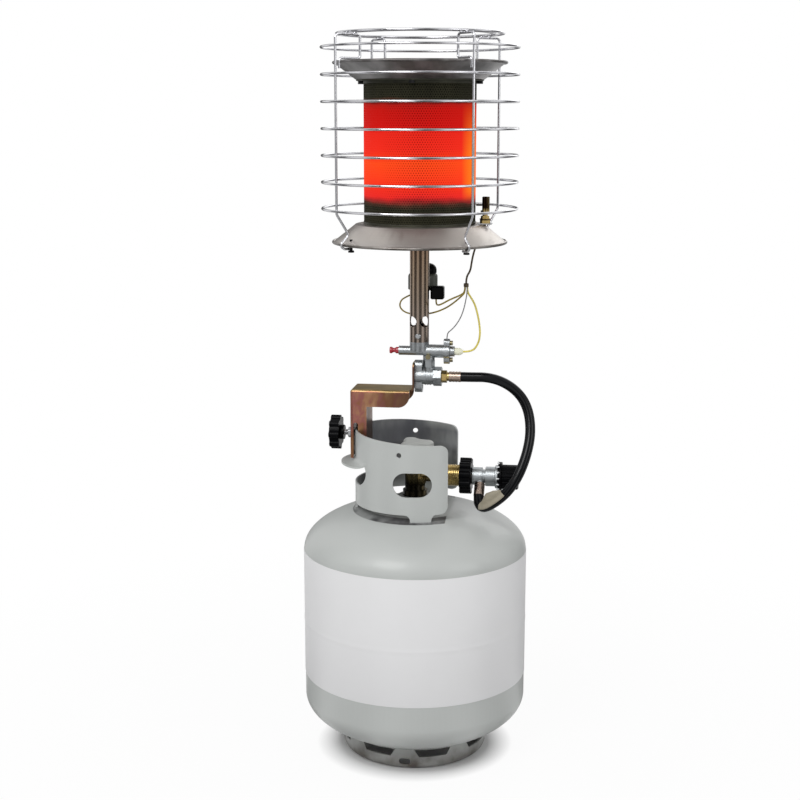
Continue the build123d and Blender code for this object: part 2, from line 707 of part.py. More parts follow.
def regulator_body():
    body = turned(
        (NIPPLE_STUB_R, REG_X),
        (REG_R - 1, REG_X),
        (REG_R, REG_X + 1),
        (REG_R, REG_X + REG_LONG),
        (REG_WAIST_R, REG_X + REG_LONG),
        (REG_WAIST_R, DRUM_X),
        (0, DRUM_X),
        (0, REG_X + NIPPLE_STUB),
        (NIPPLE_STUB_R, REG_X + NIPPLE_STUB),
    )
    port = rod(PORT_R, NIPPLE_STUB_R + 1, PORT_OUT)
    return along_x(body, OUTLET_Z) + hose_port() * port


def regulator_cap():
    cap = turned(
        (0, DRUM_X),
        (DRUM_R, DRUM_X),
        (DRUM_R, DIAPHRAGM_X),
        (DIAPHRAGM_R, DIAPHRAGM_X),
        (DIAPHRAGM_R, DIAPHRAGM_X + DIAPHRAGM),
        (STEM_R, DIAPHRAGM_X + DIAPHRAGM),
        (STEM_R, DIAPHRAGM_X + DIAPHRAGM + STEM_LONG),
        (0, DIAPHRAGM_X + DIAPHRAGM + STEM_LONG),
    )
    return along_x(cap, OUTLET_Z)


def control_knob():
    dial = rod(DIAL_R, DIAL_X, DIAL_X + DIAL_FLANGE)
    grip_body = rod(DIAL_GRIP_R, DIAL_X, DIAL_X + DIAL_LONG)
    groove = Pos(DIAL_GRIP_R + 0.5, 0, 0) * rod(1.5, DIAL_X + DIAL_FLANGE, DIAL_X + DIAL_LONG)
    grip_body = chamfer(grip_body.edges().group_by(Axis.Z)[-1], 1.5)
    dial += grip_body
    dial -= round_about(groove, DIAL_RIBS)
    dial -= rod(STEM_R + RUN_FIT, DIAL_X, DIAL_X + STEM_LONG)
    return along_x(dial, OUTLET_Z)


def ferrule(start, length):
    """Crimped copper sleeve with rolled grooves."""
    sleeve = rod(FERRULE_R, start, start + length)
    step = length / (FERRULE_GROOVES + 1)
    for i in range(FERRULE_GROOVES):
        middle = start + step * (i + 1)
        sleeve -= tube(FERRULE_R + 1, FERRULE_R - 0.4, middle - 0.8, middle + 0.8)
    return sleeve


def hose_ferrule_lower():
    return hose_port() * ferrule(PORT_OUT, FERRULE_LONG)


# ------------------------------------------------------------------ bracket and clamp
def bracket():
    """One folded sheet: top plate, side skirts, box leg astride the collar and upright tab."""
    arm_end = -SKIRT_SHORT
    skirt_low = PLATE_TOP - SKIRT_TALL
    leg_low = RIM_Z - BOX_BELOW_RIM
    outer = block(WEB_X, arm_end, BRACKET_HALF, skirt_low, PLATE_TOP)
    outer += block(WEB_X, BOX_X, BRACKET_HALF, leg_low, PLATE_TOP)
    folds = outer.edges().filter_by(Axis.X).group_by(Axis.Z)[-1]
    folds += outer.edges().filter_by(Axis.Z).group_by(Axis.X)[0]
    folds += outer.edges().filter_by(Axis.Y).group_by(Axis.Z)[-1].sort_by(Axis.X)[:1]
    outer = fillet(folds, BEND)
    skirt_ends = outer.edges().filter_by(Axis.Y).filter_by(
        lambda e: abs(e.center().X - arm_end) < 0.1 and abs(e.center().Z - skirt_low) < 0.1
    )
    outer = fillet(skirt_ends, SKIRT_CORNER)
    half = BRACKET_HALF - SHEET
    hollow = block(BOX_X, arm_end + 1, half, skirt_low - 1, PLATE_LOW)
    hollow = fillet(hollow.edges().filter_by(Axis.X).group_by(Axis.Z)[-1], BEND - SHEET)
    shaft = block(WEB_X + SHEET, BOX_X - SHEET, half, leg_low - 1, PLATE_LOW)
    shaft_edges = shaft.edges().filter_by(Axis.Z) + shaft.edges().group_by(Axis.Z)[-1]
    shaft = fillet(shaft_edges, BEND - SHEET)
    shell = outer - hollow - shaft
    reach = COLLAR_R - COLLAR_WALL
    slot_in = -sqrt(reach**2 - BRACKET_HALF**2) + RUN_FIT
    slot_top = RIM_Z + SLOT_ABOVE_RIM - SLOT_WIDE / 2
    slot = block(slot_in - SLOT_WIDE, slot_in, 2 * BRACKET_HALF, leg_low - 1, slot_top)
    crown = rod(SLOT_WIDE / 2, -2 * BRACKET_HALF, 2 * BRACKET_HALF)
    slot += along_y(crown, slot_in - SLOT_WIDE / 2, slot_top)
    shell -= slot
    shell -= along_x(rod(CLAMP_R + FACE_FIT, WEB_X - 1, WEB_X + SHEET + 1), CLAMP_Z)
    corners = [(-3 * TAB_BEND, PLATE_LOW), (0, PLATE_LOW), (0, PLATE_TOP + TAB_TALL)]
    tab = extrude(Plane.XZ * sheet_section(corners, TAB_BEND, SHEET), TAB_HALF, both=True)
    tab = fillet(tab.edges().filter_by(Axis.X).group_by(Axis.Z)[-1], TAB_CORNER)
    for side in (-1, 1):
        hole = rod(LOBE_SCREW_R, -SHEET - 1, 1)
        tab -= along_x(hole, PLATE_TOP + MANIFOLD_UP + side * LOBE_SPREAD)
    return shell + tab


def clamp_nut():
    nut = hexagon(CLAMP_NUT_FLAT, WEB_X - CLAMP_NUT_TALL, WEB_X)
    return along_x(nut - rod(CLAMP_R + RUN_FIT, WEB_X - CLAMP_NUT_TALL, WEB_X), CLAMP_Z)


def clamp_screw():
    tip = CLAMP_TIP_X
    screw = rod(CLAMP_R, tip - CLAMP_SCREW_LONG, tip)
    return along_x(chamfer(screw.edges().group_by(Axis.Z)[-1], 0.8), CLAMP_Z)


def clamp_knob():
    knob = Pos(0, 0, KNOB_X) * lobed(KNOB_R, KNOB_LOBES, KNOB_TALL)
    knob = fillet(knob.edges().group_by(Axis.Z)[0], 1.5)
    knob += rod(KNOB_HUB_R, KNOB_X + KNOB_TALL, KNOB_X + KNOB_TALL + KNOB_HUB_TALL)
    bore = rod(CLAMP_R + RUN_FIT, KNOB_X + KNOB_CAP - FACE_FIT, KNOB_X + KNOB_TALL + KNOB_HUB_TALL)
    return along_x(knob - bore, CLAMP_Z)


# ------------------------------------------------------------------ manifold and safety valve
def manifold():
    lobes = SlotCenterToCenter(2 * LOBE_SPREAD, 2 * LOBE_R)
    barrel = extrude(lobes, LOBE_THICK) + rod(MANIFOLD_R, 0, MANIFOLD_LONG)
    for i in range(MANIFOLD_RIBS):
        start = LOBE_THICK + RIB_PITCH * (i + 1)
        barrel += rod(MANIFOLD_R + RIB_OUT, start, start + RIB_WIDE)
    casting = along_x(barrel, MANIFOLD_Z)
    end = MANIFOLD_LONG + OCTAGON_LONG
    octagon = RegularPolygon(OCTAGON_FLAT / 2, 8, major_radius=False)
    casting += along_x(Pos(0, 0, MANIFOLD_LONG) * extrude(octagon, OCTAGON_LONG), MANIFOLD_Z)
    casting += Pos(RISER_X, 0, 0) * rod(RISER_BOSS_R, MANIFOLD_Z, MANIFOLD_Z + RISER_BOSS_UP)
    casting -= along_x(rod(FITTING_STUB_R, end - FITTING_STUB, end), MANIFOLD_Z)
    sunk = rod(LOBE_SCREW_R, 0, LOBE_THICK) + rod(LOBE_HEAD_R, LOBE_THICK - LOBE_HEAD, LOBE_THICK)
    for side in (-1, 1):
        casting -= along_x(sunk, MANIFOLD_Z + side * LOBE_SPREAD)
    return casting


def manifold_screws():
    """Two screws sunk in the lobes, which hold the casting to the upright tab."""
    seat = LOBE_THICK - LOBE_HEAD
    screw = rod(LOBE_SCREW_R, -SHEET, seat) + rod(LOBE_HEAD_R, seat, LOBE_THICK - FACE_FIT)
    screw -= Pos(0, 0, LOBE_THICK) * Box(DRIVER_SLOT, 2 * LOBE_HEAD_R, LOBE_HEAD)
    return [along_x(screw, MANIFOLD_Z + side * LOBE_SPREAD) for side in (-1, 1)]


def hose_fitting():
    start = MANIFOLD_LONG + OCTAGON_LONG
    end = start + HOSE_FITTING_LONG
    nut = hexagon(HOSE_FITTING_FLAT, start, end - 3)
    nut += rod(HOSE_FITTING_FLAT * 0.4, end - 3, end)
    nut += rod(FITTING_STUB_R, start - FITTING_STUB, start)
    return along_x(nut, MANIFOLD_Z)


def upper_ferrule_x():
    return MANIFOLD_LONG + OCTAGON_LONG + HOSE_FITTING_LONG


def hose_ferrule_upper():
    return along_x(ferrule(upper_ferrule_x(), UPPER_FERRULE_LONG), MANIFOLD_Z)


def riser_nipple():
    low = MANIFOLD_Z + RISER_BOSS_UP
    nipple = hexagon(2 * RISER_R * 0.9, low, VALVE_Z - BARREL_R - 3)
    return Pos(RISER_X, 0, 0) * nipple


def safety_valve_body():
    body = along_x(rod(GUIDE_R, BUTTON_END_X, BARREL_X), VALVE_Z)
    body += along_x(rod(BARREL_R, BARREL_X, COVER_X), VALVE_Z)
    body += Pos(RISER_X, 0, 0) * rod(RISER_R, VALVE_Z - BARREL_R - 3, VALVE_Z)
    body += on_head(rod(TUBE_R, VALVE_Z, TUBE_Z))
    body += on_head(rod(TUBE_R - TUBE_WALL, TUBE_Z, TUBE_Z + SPIGOT_TALL))
    guide = rod(BUTTON_R + BUTTON_FIT, BUTTON_END_X, BUTTON_END_X + SPRING_ROOM)
    stem = rod(BUTTON_STEM_R + BUTTON_FIT, BUTTON_END_X, BUTTON_END_X + BUTTON_STEM + BUTTON_TRAVEL + 1)
    body -= along_x(guide + stem, VALVE_Z)
    screw = rod(TUBE_SCREW_R, -TUBE_R, -TUBE_R / 2)
    return body - along_y(screw, HEAD_X, TUBE_Z + TUBE_SCREW_UP)


def valve_cover():
    outline = SlotCenterToCenter(2 * COVER_SCREW_SPREAD, 2 * COVER_LOBE_R) + Circle(COVER_R)
    cover = Pos(0, 0, COVER_X) * extrude(outline, COVER_PLATE)
    cover += rod(COVER_BOSS_R, COVER_X + COVER_PLATE, COVER_X + COVER_PLATE + COVER_BOSS)
    cover = along_x(cover, VALVE_Z)
    for side in (-1, 1):
        hole = rod(COVER_SCREW_R, COVER_X, COVER_X + COVER_PLATE)
        cover -= along_x(hole, VALVE_Z + side * COVER_SCREW_SPREAD)
    return cover


def valve_screws():
    """Brass: two screws that hold the cover, and a plug in the front of the riser."""
    face = COVER_X + COVER_PLATE
    screw = rod(COVER_SCREW_R, COVER_X, face) + rod(COVER_SCREW_HEAD_R, face, face + COVER_SCREW_HEAD)
    end = face + COVER_SCREW_HEAD
    screw -= Pos(0, 0, end) * Box(DRIVER_SLOT, 2 * COVER_SCREW_HEAD_R, COVER_SCREW_HEAD / 2)
    screws = [along_x(screw, VALVE_Z + side * COVER_SCREW_SPREAD) for side in (-1, 1)]
    plug = hexagon(2 * TAP_SCREW_R, -RISER_R - TAP_SCREW_LONG, -RISER_R)
    return screws + [along_y(plug, RISER_X, VALVE_Z - TAP_SCREW_DOWN)]


def connector_x():
    return COVER_X + COVER_PLATE + COVER_BOSS


def lead_connector():
    start = connector_x()
    boot = turned(
        (0, start),
        (CONNECTOR_R, start),
        (CONNECTOR_R, start + CONNECTOR_LONG * 0.6),
        (CONNECTOR_R * 0.55, start + CONNECTOR_LONG),
        (0, start + CONNECTOR_LONG),
    )
    return along_x(boot, VALVE_Z)


def safety_button():
    out = BUTTON_END_X - BUTTON_OUT
    button = turned(
        (0, out),
        (BUTTON_R - 0.6, out),
        (BUTTON_R, out + 0.6),
        (BUTTON_R, out + 3),
        (BUTTON_WAIST_R, out + 5),
        (BUTTON_WAIST_R, out + 7),
        (BUTTON_R, out + 9),
        (BUTTON_R, BUTTON_END_X + 1),
        (BUTTON_STEM_R, BUTTON_END_X + 1),
        (BUTTON_STEM_R, BUTTON_END_X + BUTTON_STEM),
        (0, BUTTON_END_X + BUTTON_STEM),
    )
    return along_x(button, VALVE_Z)


def button_spring():
    start = BUTTON_END_X + 1 + SPRING_WIRE_R + 0.1
    room = SPRING_ROOM - 1 - 2 * SPRING_WIRE_R - 0.2
    helix = Helix(room / SPRING_TURNS, room, SPRING_R)
    section = Plane(origin=helix @ 0, z_dir=helix % 0) * Circle(SPRING_WIRE_R)
    return along_x(Pos(0, 0, start) * sweep(section, path=helix, is_frenet=True), VALVE_Z)


def injector():
    low = TUBE_Z + SPIGOT_TALL
    top = low + INJECTOR_TALL
    jet = hexagon(INJECTOR_FLAT, low, top)
    jet += Pos(0, 0, top) * Cone(INJECTOR_FLAT * 0.4, JET_R * 2, INJECTOR_CONE, align=BASE)
    return on_head(jet - rod(JET_R, top, top + INJECTOR_CONE))


# ------------------------------------------------------------------ mixing tube and tip switch
def mixing_tube():
    pipe = tube(TUBE_R, TUBE_R - TUBE_WALL, TUBE_Z, TUBE_Z + TUBE_LONG)
    hole = along_x(rod(AIR_HOLE_R, 0, 2 * TUBE_R), TUBE_Z + AIR_HOLE_UP)
    pipe -= round_about(hole, AIR_HOLES, 180 / AIR_HOLES)
    pipe -= along_y(rod(TUBE_SCREW_R, -2 * TUBE_R, 0), 0, TUBE_Z + TUBE_SCREW_UP)
    return on_head(pipe)


def tube_screw():
    screw = rod(TUBE_SCREW_R, -TUBE_R, -TUBE_R / 2)
    head = rod(TUBE_SCREW_HEAD_R, -TUBE_R - TUBE_SCREW_HEAD, -TUBE_R)
    head = chamfer(head.edges().group_by(Axis.Z)[0], 1.2)
    return along_y(screw + head, HEAD_X, TUBE_Z + TUBE_SCREW_UP)


def switch_can():
    can = rod(CAN_R, CAN_Z, CAN_Z + CAN_TALL)
    can = fillet(can.edges().group_by(Axis.Z)[-1], CAN_SHOULDER)
    return on_head(Pos(0, CAN_Y, 0) * can)


def switch_cap():
    low = CAN_Z + CAN_TALL
    cap = rod(CAP_R, low, low + CAP_TALL)
    cap = fillet(cap.edges().group_by(Axis.Z)[-1], CAP_TALL * 0.7)
    return on_head(Pos(CAP_SHIFT, CAN_Y, 0) * cap)


def switch_clip():
    """Saddle between the back of the tube and the switch."""
    low = CAN_Z + 3
    saddle = Pos(0, TUBE_R, low) * Box(2 * CLIP_HALF, 12, CLIP_TALL, align=BASE)
    saddle -= rod(TUBE_R, low - 1, low + CLIP_TALL + 1)
    saddle -= Pos(0, CAN_Y, 0) * rod(CAN_R, low - 1, low + CLIP_TALL + 1)
    return on_head(saddle)


def block_x():
    return HEAD_X + TUBE_R + 0.5


def switch_block():
    low = CAN_Z - BLOCK_DOWN
    middle = (block_x() + BLOCK_WIDE / 2, CAN_Y - CAN_R, low + BLOCK_TALL / 2)
    body = Pos(*middle) * Box(BLOCK_WIDE, BLOCK_DEEP, BLOCK_TALL)
    body = fillet(body.edges(), BLOCK_ROUND)
    return body - on_head(Pos(0, CAN_Y, 0) * rod(CAN_R, CAN_Z, CAN_Z + CAN_TALL))


# ------------------------------------------------------------------ heating head
def dish(points, side, rim_r, rim_z):
    """Pressed dish with a rolled bead round its rim."""
    section = sheet_section(points, DISH_BEND, DISH_SHEET, side)
    bead = Pos(rim_r, rim_z) * Circle(DISH_BEAD_R)
    return revolve(Plane.XZ * section, Axis.Z) + revolve(Plane.XZ * bead, Axis.Z)


def lower_dish():
    points = [(TUBE_R, DISH_Z), (LOWER_FLAT_R, DISH_Z), (LOWER_RIM_R, LOWER_RIM_Z)]
    pan = dish(points, Side.RIGHT, LOWER_RIM_R, LOWER_RIM_Z)
    pan -= round_about(guard_screw_shank(), ROD_COUNT, ROD_FIRST)
    pan -= Pos(SENSOR_OUT, 0, 0) * rod(LEAD_HOLE_R, LOWER_RIM_Z, DISH_Z)
    return on_head(pan)


def upper_dish():
    points = [(0, BOWL_Z), (UPPER_FLAT_R, BOWL_Z), (UPPER_RIM_R, UPPER_RIM_Z)]
    bowl = dish(points, Side.LEFT, UPPER_RIM_R, UPPER_RIM_Z)
    bowl -= round_about(dish_screw_shank(), DISH_SCREWS)
    return on_head(bowl)


def emitter_screen():
    return on_head(tube(SCREEN_R, SCREEN_R - SCREEN_WALL, DISH_Z, CAP_Z))


def inner_screen():
    return on_head(tube(INNER_SCREEN_R, INNER_SCREEN_R - SCREEN_WALL, DISH_Z, CAP_Z))


def emitter_cap():
    return on_head(rod(CAP_PLATE_R, CAP_Z, BOWL_Z) - round_about(dish_screw_shank(), DISH_SCREWS))


def dish_screw_shank():
    low = CAP_Z - DISH_SCREW_HEAD
    return Pos(DISH_SCREW_RING, 0, 0) * rod(DISH_SCREW_R, low, BOWL_Z + DISH_SHEET + DISH_SCREW_HEAD)


def dish_screws():
    nut_low = BOWL_Z + DISH_SHEET
    bolt = dish_screw_shank()
    bolt += Pos(DISH_SCREW_RING, 0, 0) * hexagon(DISH_SCREW_FLAT, CAP_Z - DISH_SCREW_HEAD, CAP_Z)
    bolt += Pos(DISH_SCREW_RING, 0, 0) * hexagon(DISH_SCREW_FLAT, nut_low, nut_low + 3)
    return [on_head(one) for one in round_about(bolt, DISH_SCREWS)]


# ------------------------------------------------------------------ wire guard
def hoop(radius, height):
    return on_head(Pos(0, 0, height) * Torus(radius, WIRE_R))


def guard_rings():
    low = DISH_Z + RING_UP
    return [hoop(RING_R, low + RING_PITCH * i) for i in range(RING_COUNT)]


def guard_top_rings():
    height = GUARD_TOP_Z + 2 * WIRE_R
    return [hoop(radius, height) for radius in (TOP_RING_R, INNER_RING_R)]


def guard_rods():
    """Each rod ends in a clip over the upper rim and a hook under the lower one."""
    rest_z = UPPER_RIM_Z + DISH_BEAD_R + WIRE_R + FACE_FIT
    clip_r = UPPER_RIM_R + DISH_BEAD_R + CLIP_OUT
    waist_z = LOWER_RIM_Z + WAIST_UP
    points = [
        (clip_r, 0, rest_z - CLIP_DOWN - CLIP_TAIL),
        (clip_r, 0, rest_z),
        (LOOP_R, 0, rest_z),
        (LOOP_R, 0, GUARD_TOP_Z),
        (ROD_R, 0, GUARD_TOP_Z),
        (ROD_R, 0, DISH_Z + RING_UP - 4),
        (WAIST_R, 0, waist_z),
        (HOOK_R, 0, LOWER_RIM_Z + 2.5),
        (HOOK_R, 0, HOOK_Z + 1.5),
        (HOOK_R - HOOK_TURN, 0, HOOK_Z - 1.0),
        (HOOK_R - HOOK_TURN - HOOK_IN, 0, HOOK_Z - 1.0),
    ]
    bends = [3.5, 3.5, 5, 5, 8, 5, 2.5, 2.2, 2.5]
    rods = round_about(wire(points, WIRE_R, bends), ROD_COUNT, ROD_FIRST)
    return [on_head(one) for one in rods]


def guard_screw_place():
    """A guard screw stands beside the hook's end, with its head under the wire."""
    return Pos(WAIST_R - 1, GUARD_SCREW_R + WIRE_R + FACE_FIT, 0)


def guard_screw_shank():
    """It ends just proud of the dish's sloping side."""
    slope = LOWER_DROP / (LOWER_RIM_R - LOWER_FLAT_R)
    top = DISH_Z - (WAIST_R - 1 - LOWER_FLAT_R) * slope + DISH_SHEET
    low = HOOK_Z - 1.0 - WIRE_R - FACE_FIT
    return guard_screw_place() * rod(GUARD_SCREW_R, low, top)


def guard_screws():
    low = HOOK_Z - 1.0 - WIRE_R - FACE_FIT
    head = rod(GUARD_SCREW_HEAD_R, low - GUARD_SCREW_HEAD, low)
    screw = guard_screw_shank() + guard_screw_place() * head
    return [on_head(one) for one in round_about(screw, ROD_COUNT, ROD_FIRST)]


# ------------------------------------------------------------------ flame sensor
def sensor_shelf():
    start = SCREEN_R + SHELF_GAP
    shelf = block(start, SHELF_END, SHELF_HALF, DISH_Z, DISH_Z + SHELF_THICK)
    shelf -= Pos(SENSOR_OUT, 0, 0) * rod(SENSOR_NECK_R, DISH_Z, DISH_Z + SHELF_THICK)
    return on_head(shelf)


def sensor_body():
    low = DISH_Z + SHELF_THICK
    nut_top = low + SENSOR_NUT
    neck_top = nut_top + SENSOR_NECK
    washer_top = nut_top + SENSOR_WASHER
    body = hexagon(SENSOR_NUT_FLAT, low, nut_top)
    body += rod(SENSOR_WASHER_R, nut_top, washer_top)
    body += hexagon(LOCK_NUT_FLAT, washer_top, washer_top + LOCK_NUT)
    body += rod(SENSOR_NECK_R, DISH_Z, neck_top)
    hood = tube(HOOD_R, HOOD_R - HOOD_WALL, neck_top, neck_top + HOOD_TALL)
    hood -= block(-2 * HOOD_R, -HOOD_MOUTH, 2 * HOOD_R, neck_top + 2, neck_top + HOOD_TALL)
    body += hood + rod(HOOD_R, neck_top - 1.5, neck_top + 1)
    probe = rod(PROBE_R, neck_top, low + PROBE_UP)
    arm = along_x(rod(PROBE_R, -PROBE_LONG, 0), low + PROBE_UP)
    return on_head(Pos(SENSOR_OUT, 0, 0) * (body + probe + arm))


# ------------------------------------------------------------------ hose and leads
def gas_hose():
    port_end = hose_port() * Pos(0, 0, PORT_OUT + FERRULE_LONG)
    first = tuple(port_end.position)
    last = (upper_ferrule_x() + UPPER_FERRULE_LONG, 0, MANIFOLD_Z)
    straight = tuple((port_end * Pos(0, 0, 13)).position)
    route = [
        first,
        straight,
        (100, -41, 359),
        (114, -46, 368),
        (129, -47.5, 381),
        (141, -45.5, 397),
        (150, -40, 415),
        (157, -31, 437),
        (160.5, -21.5, 460),
        (158, -12, 484),
        (150, -6, 503),
        (137, -2, 517),
        (119, 0, 527.5),
        (99, 0, 532.5),
        (80, 0, 532),
        last,
    ]
    return cord_tube("gas_hose", route, HOSE_R)


SLEEVE_TOP = (69.5, -5.0, 661.0)


def lead_sleeve():
    x, y, top = SLEEVE_TOP
    return Pos(x, y, 0) * rod(SLEEVE_LEAD_R, top - SLEEVE_LEAD_LONG, top)


def thermocouple_lead():
    route = [
        (HEAD_X + SENSOR_OUT, 0, DISH_Z),
        (93.5, 0, 733),
        (90, -1, 725),
        (84.8, -2, 717.5),
        (81, -3, 708.5),
        (78.2, -4, 698.5),
        (76.4, -4.6, 688),
        (75, -5, 678),
        (69.5, -5, 669.5),
        SLEEVE_TOP,
    ]
    return cord_tube("thermocouple_lead", route, LEAD_R)


def sleeve_exit(dx, dy):
    x, y, top = SLEEVE_TOP
    return (x + dx, y + dy, top - SLEEVE_LEAD_LONG)


def yellow_lead():
    route = [
        sleeve_exit(1.5, 1.5),
        (71, -3.5, 649),
        (75.5, -3.5, 642.5),
        (81, -3.5, 633.5),
        (84.8, -3.4, 621),
        (87.6, -3, 607),
        (88.9, -2.4, 593),
        (86.8, -1.2, 579.5),
        (78.5, 0, VALVE_Z),
        (connector_x() + CONNECTOR_LONG, 0, VALVE_Z),
    ]
    return cord_tube("yellow_lead", route, LEAD_R)


def switch_lead_upper():
    low = CAN_Z - BLOCK_DOWN
    route = [
        sleeve_exit(-1.5, -1.5),
        (68, -6.5, 649),
        (62, -8, 645),
        (53.5, -9.5, 641.5),
        (45, -9.5, 637.5),
        (37, -6, 632.5),
        (30.5, 2, 629.5),
        (27, 10, 630.5),
        (27, 10, low),
    ]
    return cord_tube("switch_lead_upper", route, WIRE_LEAD_R)


def switch_lead_lower():
    route = [
        sleeve_exit(-1.5, 1.5),
        (68, -3.5, 648.5),
        (62.5, -2, 642.5),
        (54, 1, 635),
        (45, 4, 628),
        (34, 8, 622),
        (21, 14, 617),
        (7, 20, 614.5),
        (-8, 25, 613.5),
        (-20, 29, 616),
        (-27, 32, 623),
        (-25, 35, 632),
        (-16, 36.5, 637),
        (-8, 37, 640.5),
        (-8, 37, CAN_Z),
    ]
    return cord_tube("switch_lead_lower", route, WIRE_LEAD_R)


def fine_lead():
    x = COVER_X + COVER_PLATE / 2
    top = VALVE_Z + COVER_SCREW_SPREAD + COVER_LOBE_R
    route = [
        sleeve_exit(1.5, -1.5),
        (71, -6.5, 648),
        (69.2, -6.5, 637.5),
        (66.8, -6.2, 626.5),
        (63, -5.6, 615.5),
        (57.2, -4.4, 605.5),
        (50.4, -2.6, 597.5),
        (x, 0, 592),
        (x, 0, top),
    ]
    return cord_tube("fine_lead", route, FINE_LEAD_R)


NODES = [
    tank_bottom_shell,
    tank_top_shell,
    label_sleeve,
    foot_ring,
    collar,
    valve_bung,
    tank_valve_body,
    bleed_screw,
    relief_valve,
    valve_spindle,
    tank_handwheel,
    dip_tube,
    level_float,
    coupling_nut,
    regulator_nipple,
    regulator_body,
    regulator_cap,
    control_knob,
    hose_ferrule_lower,
    gas_hose,
    hose_ferrule_upper,
    hose_fitting,
    bracket,
    clamp_nut,
    clamp_screw,
    clamp_knob,
    manifold,
    manifold_screws,
    riser_nipple,
    safety_valve_body,
    valve_cover,
    valve_screws,
    lead_connector,
    safety_button,
    button_spring,
    injector,
    mixing_tube,
    tube_screw,
    switch_can,
    switch_cap,
    switch_clip,
    switch_block,
    lower_dish,
    upper_dish,
    emitter_screen,
    inner_screen,
    emitter_cap,
    dish_screws,
    guard_rings,
    guard_top_rings,
    guard_rods,
    guard_screws,
    sensor_shelf,
    sensor_body,
    lead_sleeve,
    thermocouple_lead,
    yellow_lead,
    switch_lead_upper,
    switch_lead_lower,
    fine_lead,
]

os.makedirs("parts", exist_ok=True)
for make in NODES:
    solid = make()
    if isinstance(solid, list):
        solid = Compound(children=solid)
    export_step(solid, f"parts/{make.__name__}.step")
    print(make.__name__, round(solid.volume))
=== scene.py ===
# %% [markdown]
# # A portable propane heater, cell by cell
# The object is an infrared heating head that stands on the collar of its own gas cylinder.
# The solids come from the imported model, which fixes every size and joint. Blender adds what
# a solid doesn't say: softened edges, perforations, welds, threads, wear and colour.

# %% Open the frame
import json
import math

import bmesh
import bpy
from mathutils import Matrix, Vector

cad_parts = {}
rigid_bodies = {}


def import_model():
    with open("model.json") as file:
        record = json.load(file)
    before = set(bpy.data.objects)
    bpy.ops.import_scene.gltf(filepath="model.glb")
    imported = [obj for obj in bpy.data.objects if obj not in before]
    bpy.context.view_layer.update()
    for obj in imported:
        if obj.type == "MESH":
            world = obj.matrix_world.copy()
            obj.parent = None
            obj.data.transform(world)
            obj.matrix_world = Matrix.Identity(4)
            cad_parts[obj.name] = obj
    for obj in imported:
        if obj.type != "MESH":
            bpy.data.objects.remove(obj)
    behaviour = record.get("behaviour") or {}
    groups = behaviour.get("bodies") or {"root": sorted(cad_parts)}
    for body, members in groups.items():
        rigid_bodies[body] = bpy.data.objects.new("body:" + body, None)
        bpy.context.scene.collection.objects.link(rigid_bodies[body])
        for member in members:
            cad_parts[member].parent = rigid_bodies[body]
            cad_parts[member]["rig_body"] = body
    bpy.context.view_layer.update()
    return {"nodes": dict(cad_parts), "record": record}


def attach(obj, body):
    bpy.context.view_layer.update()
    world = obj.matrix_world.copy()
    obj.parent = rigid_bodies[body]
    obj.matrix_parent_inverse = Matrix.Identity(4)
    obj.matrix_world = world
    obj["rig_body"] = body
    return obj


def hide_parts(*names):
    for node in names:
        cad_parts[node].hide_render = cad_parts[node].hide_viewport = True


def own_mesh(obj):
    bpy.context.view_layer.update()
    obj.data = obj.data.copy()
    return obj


MM = 0.001
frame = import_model()
scene = bpy.context.scene

# %% [markdown]
# ## The camera
# The viewpoint was found by lining up the cylinder's rims and the guard's rings, whose
# ellipses open as they leave eye level. A long lens from two metres keeps the object upright.

# %% Set the camera
CAMERA_PLACE = (0.2696, -1.9698, 0.887)
CAMERA_TILT = 11.07  # degrees below the horizon
CAMERA_TURN = 8.4  # degrees to the left
CAMERA_LENS, SENSOR_WIDTH = 66.2, 36


def new_object(name, data):
    """Object that is linked to the scene."""
    thing = bpy.data.objects.new(name, data)
    scene.collection.objects.link(thing)
    return thing


camera_data = bpy.data.cameras.new("studio_camera")
camera_data.lens = CAMERA_LENS
camera_data.sensor_width = SENSOR_WIDTH
camera = new_object("studio_camera", camera_data)
camera.location = CAMERA_PLACE
camera.rotation_euler = (math.radians(90 - CAMERA_TILT), 0, math.radians(CAMERA_TURN))
scene.camera = camera
scene.view_settings.view_transform = "Standard"
print("camera:", CAMERA_PLACE, "lens:", CAMERA_LENS)

# %% [markdown]
# ## Small builders of nodes
# Most of a node tree is repetition, so `add_node` makes a node, fills its sockets and links
# them in one call, and short helpers stand for the kinds that are used most. `colour` turns
# the familiar 0 to 255 numbers into the linear values that shaders expect.


# %% Define the node helpers
def colour(red, green, blue):
    """Linear colour from display values of 0 to 255."""
    display = [value / 255 for value in (red, green, blue)]
    linear = [v / 12.92 if v <= 0.04045 else ((v + 0.055) / 1.055) ** 2.4 for v in display]
    return (*linear, 1.0)


WHITE, BLACK = (1, 1, 1, 1), (0, 0, 0, 1)
EVEN = (1.0, 1.0, 1.0)
UP, ALONG = (0.0, 0.0, 1.0), (1.0, 0.0, 0.0)


def add_node(tree, kind, inputs=None, **settings):
    """One node, its settings, and values or links for its sockets."""
    node = tree.nodes.new(kind)
    for key, value in settings.items():
        setattr(node, key, value)
    for key, value in (inputs or {}).items():
        if isinstance(value, bpy.types.NodeSocket):
            tree.links.new(value, node.inputs[key])
        else:
            node.inputs[key].default_value = value
    return node


def maths(tree, operation, first, second=0.0, third=0.0, clamp=False):
    """Output of one Math node."""
    inputs = {0: first, 1: second, 2: third}
    return add_node(tree, "ShaderNodeMath", inputs, operation=operation, use_clamp=clamp).outputs[0]


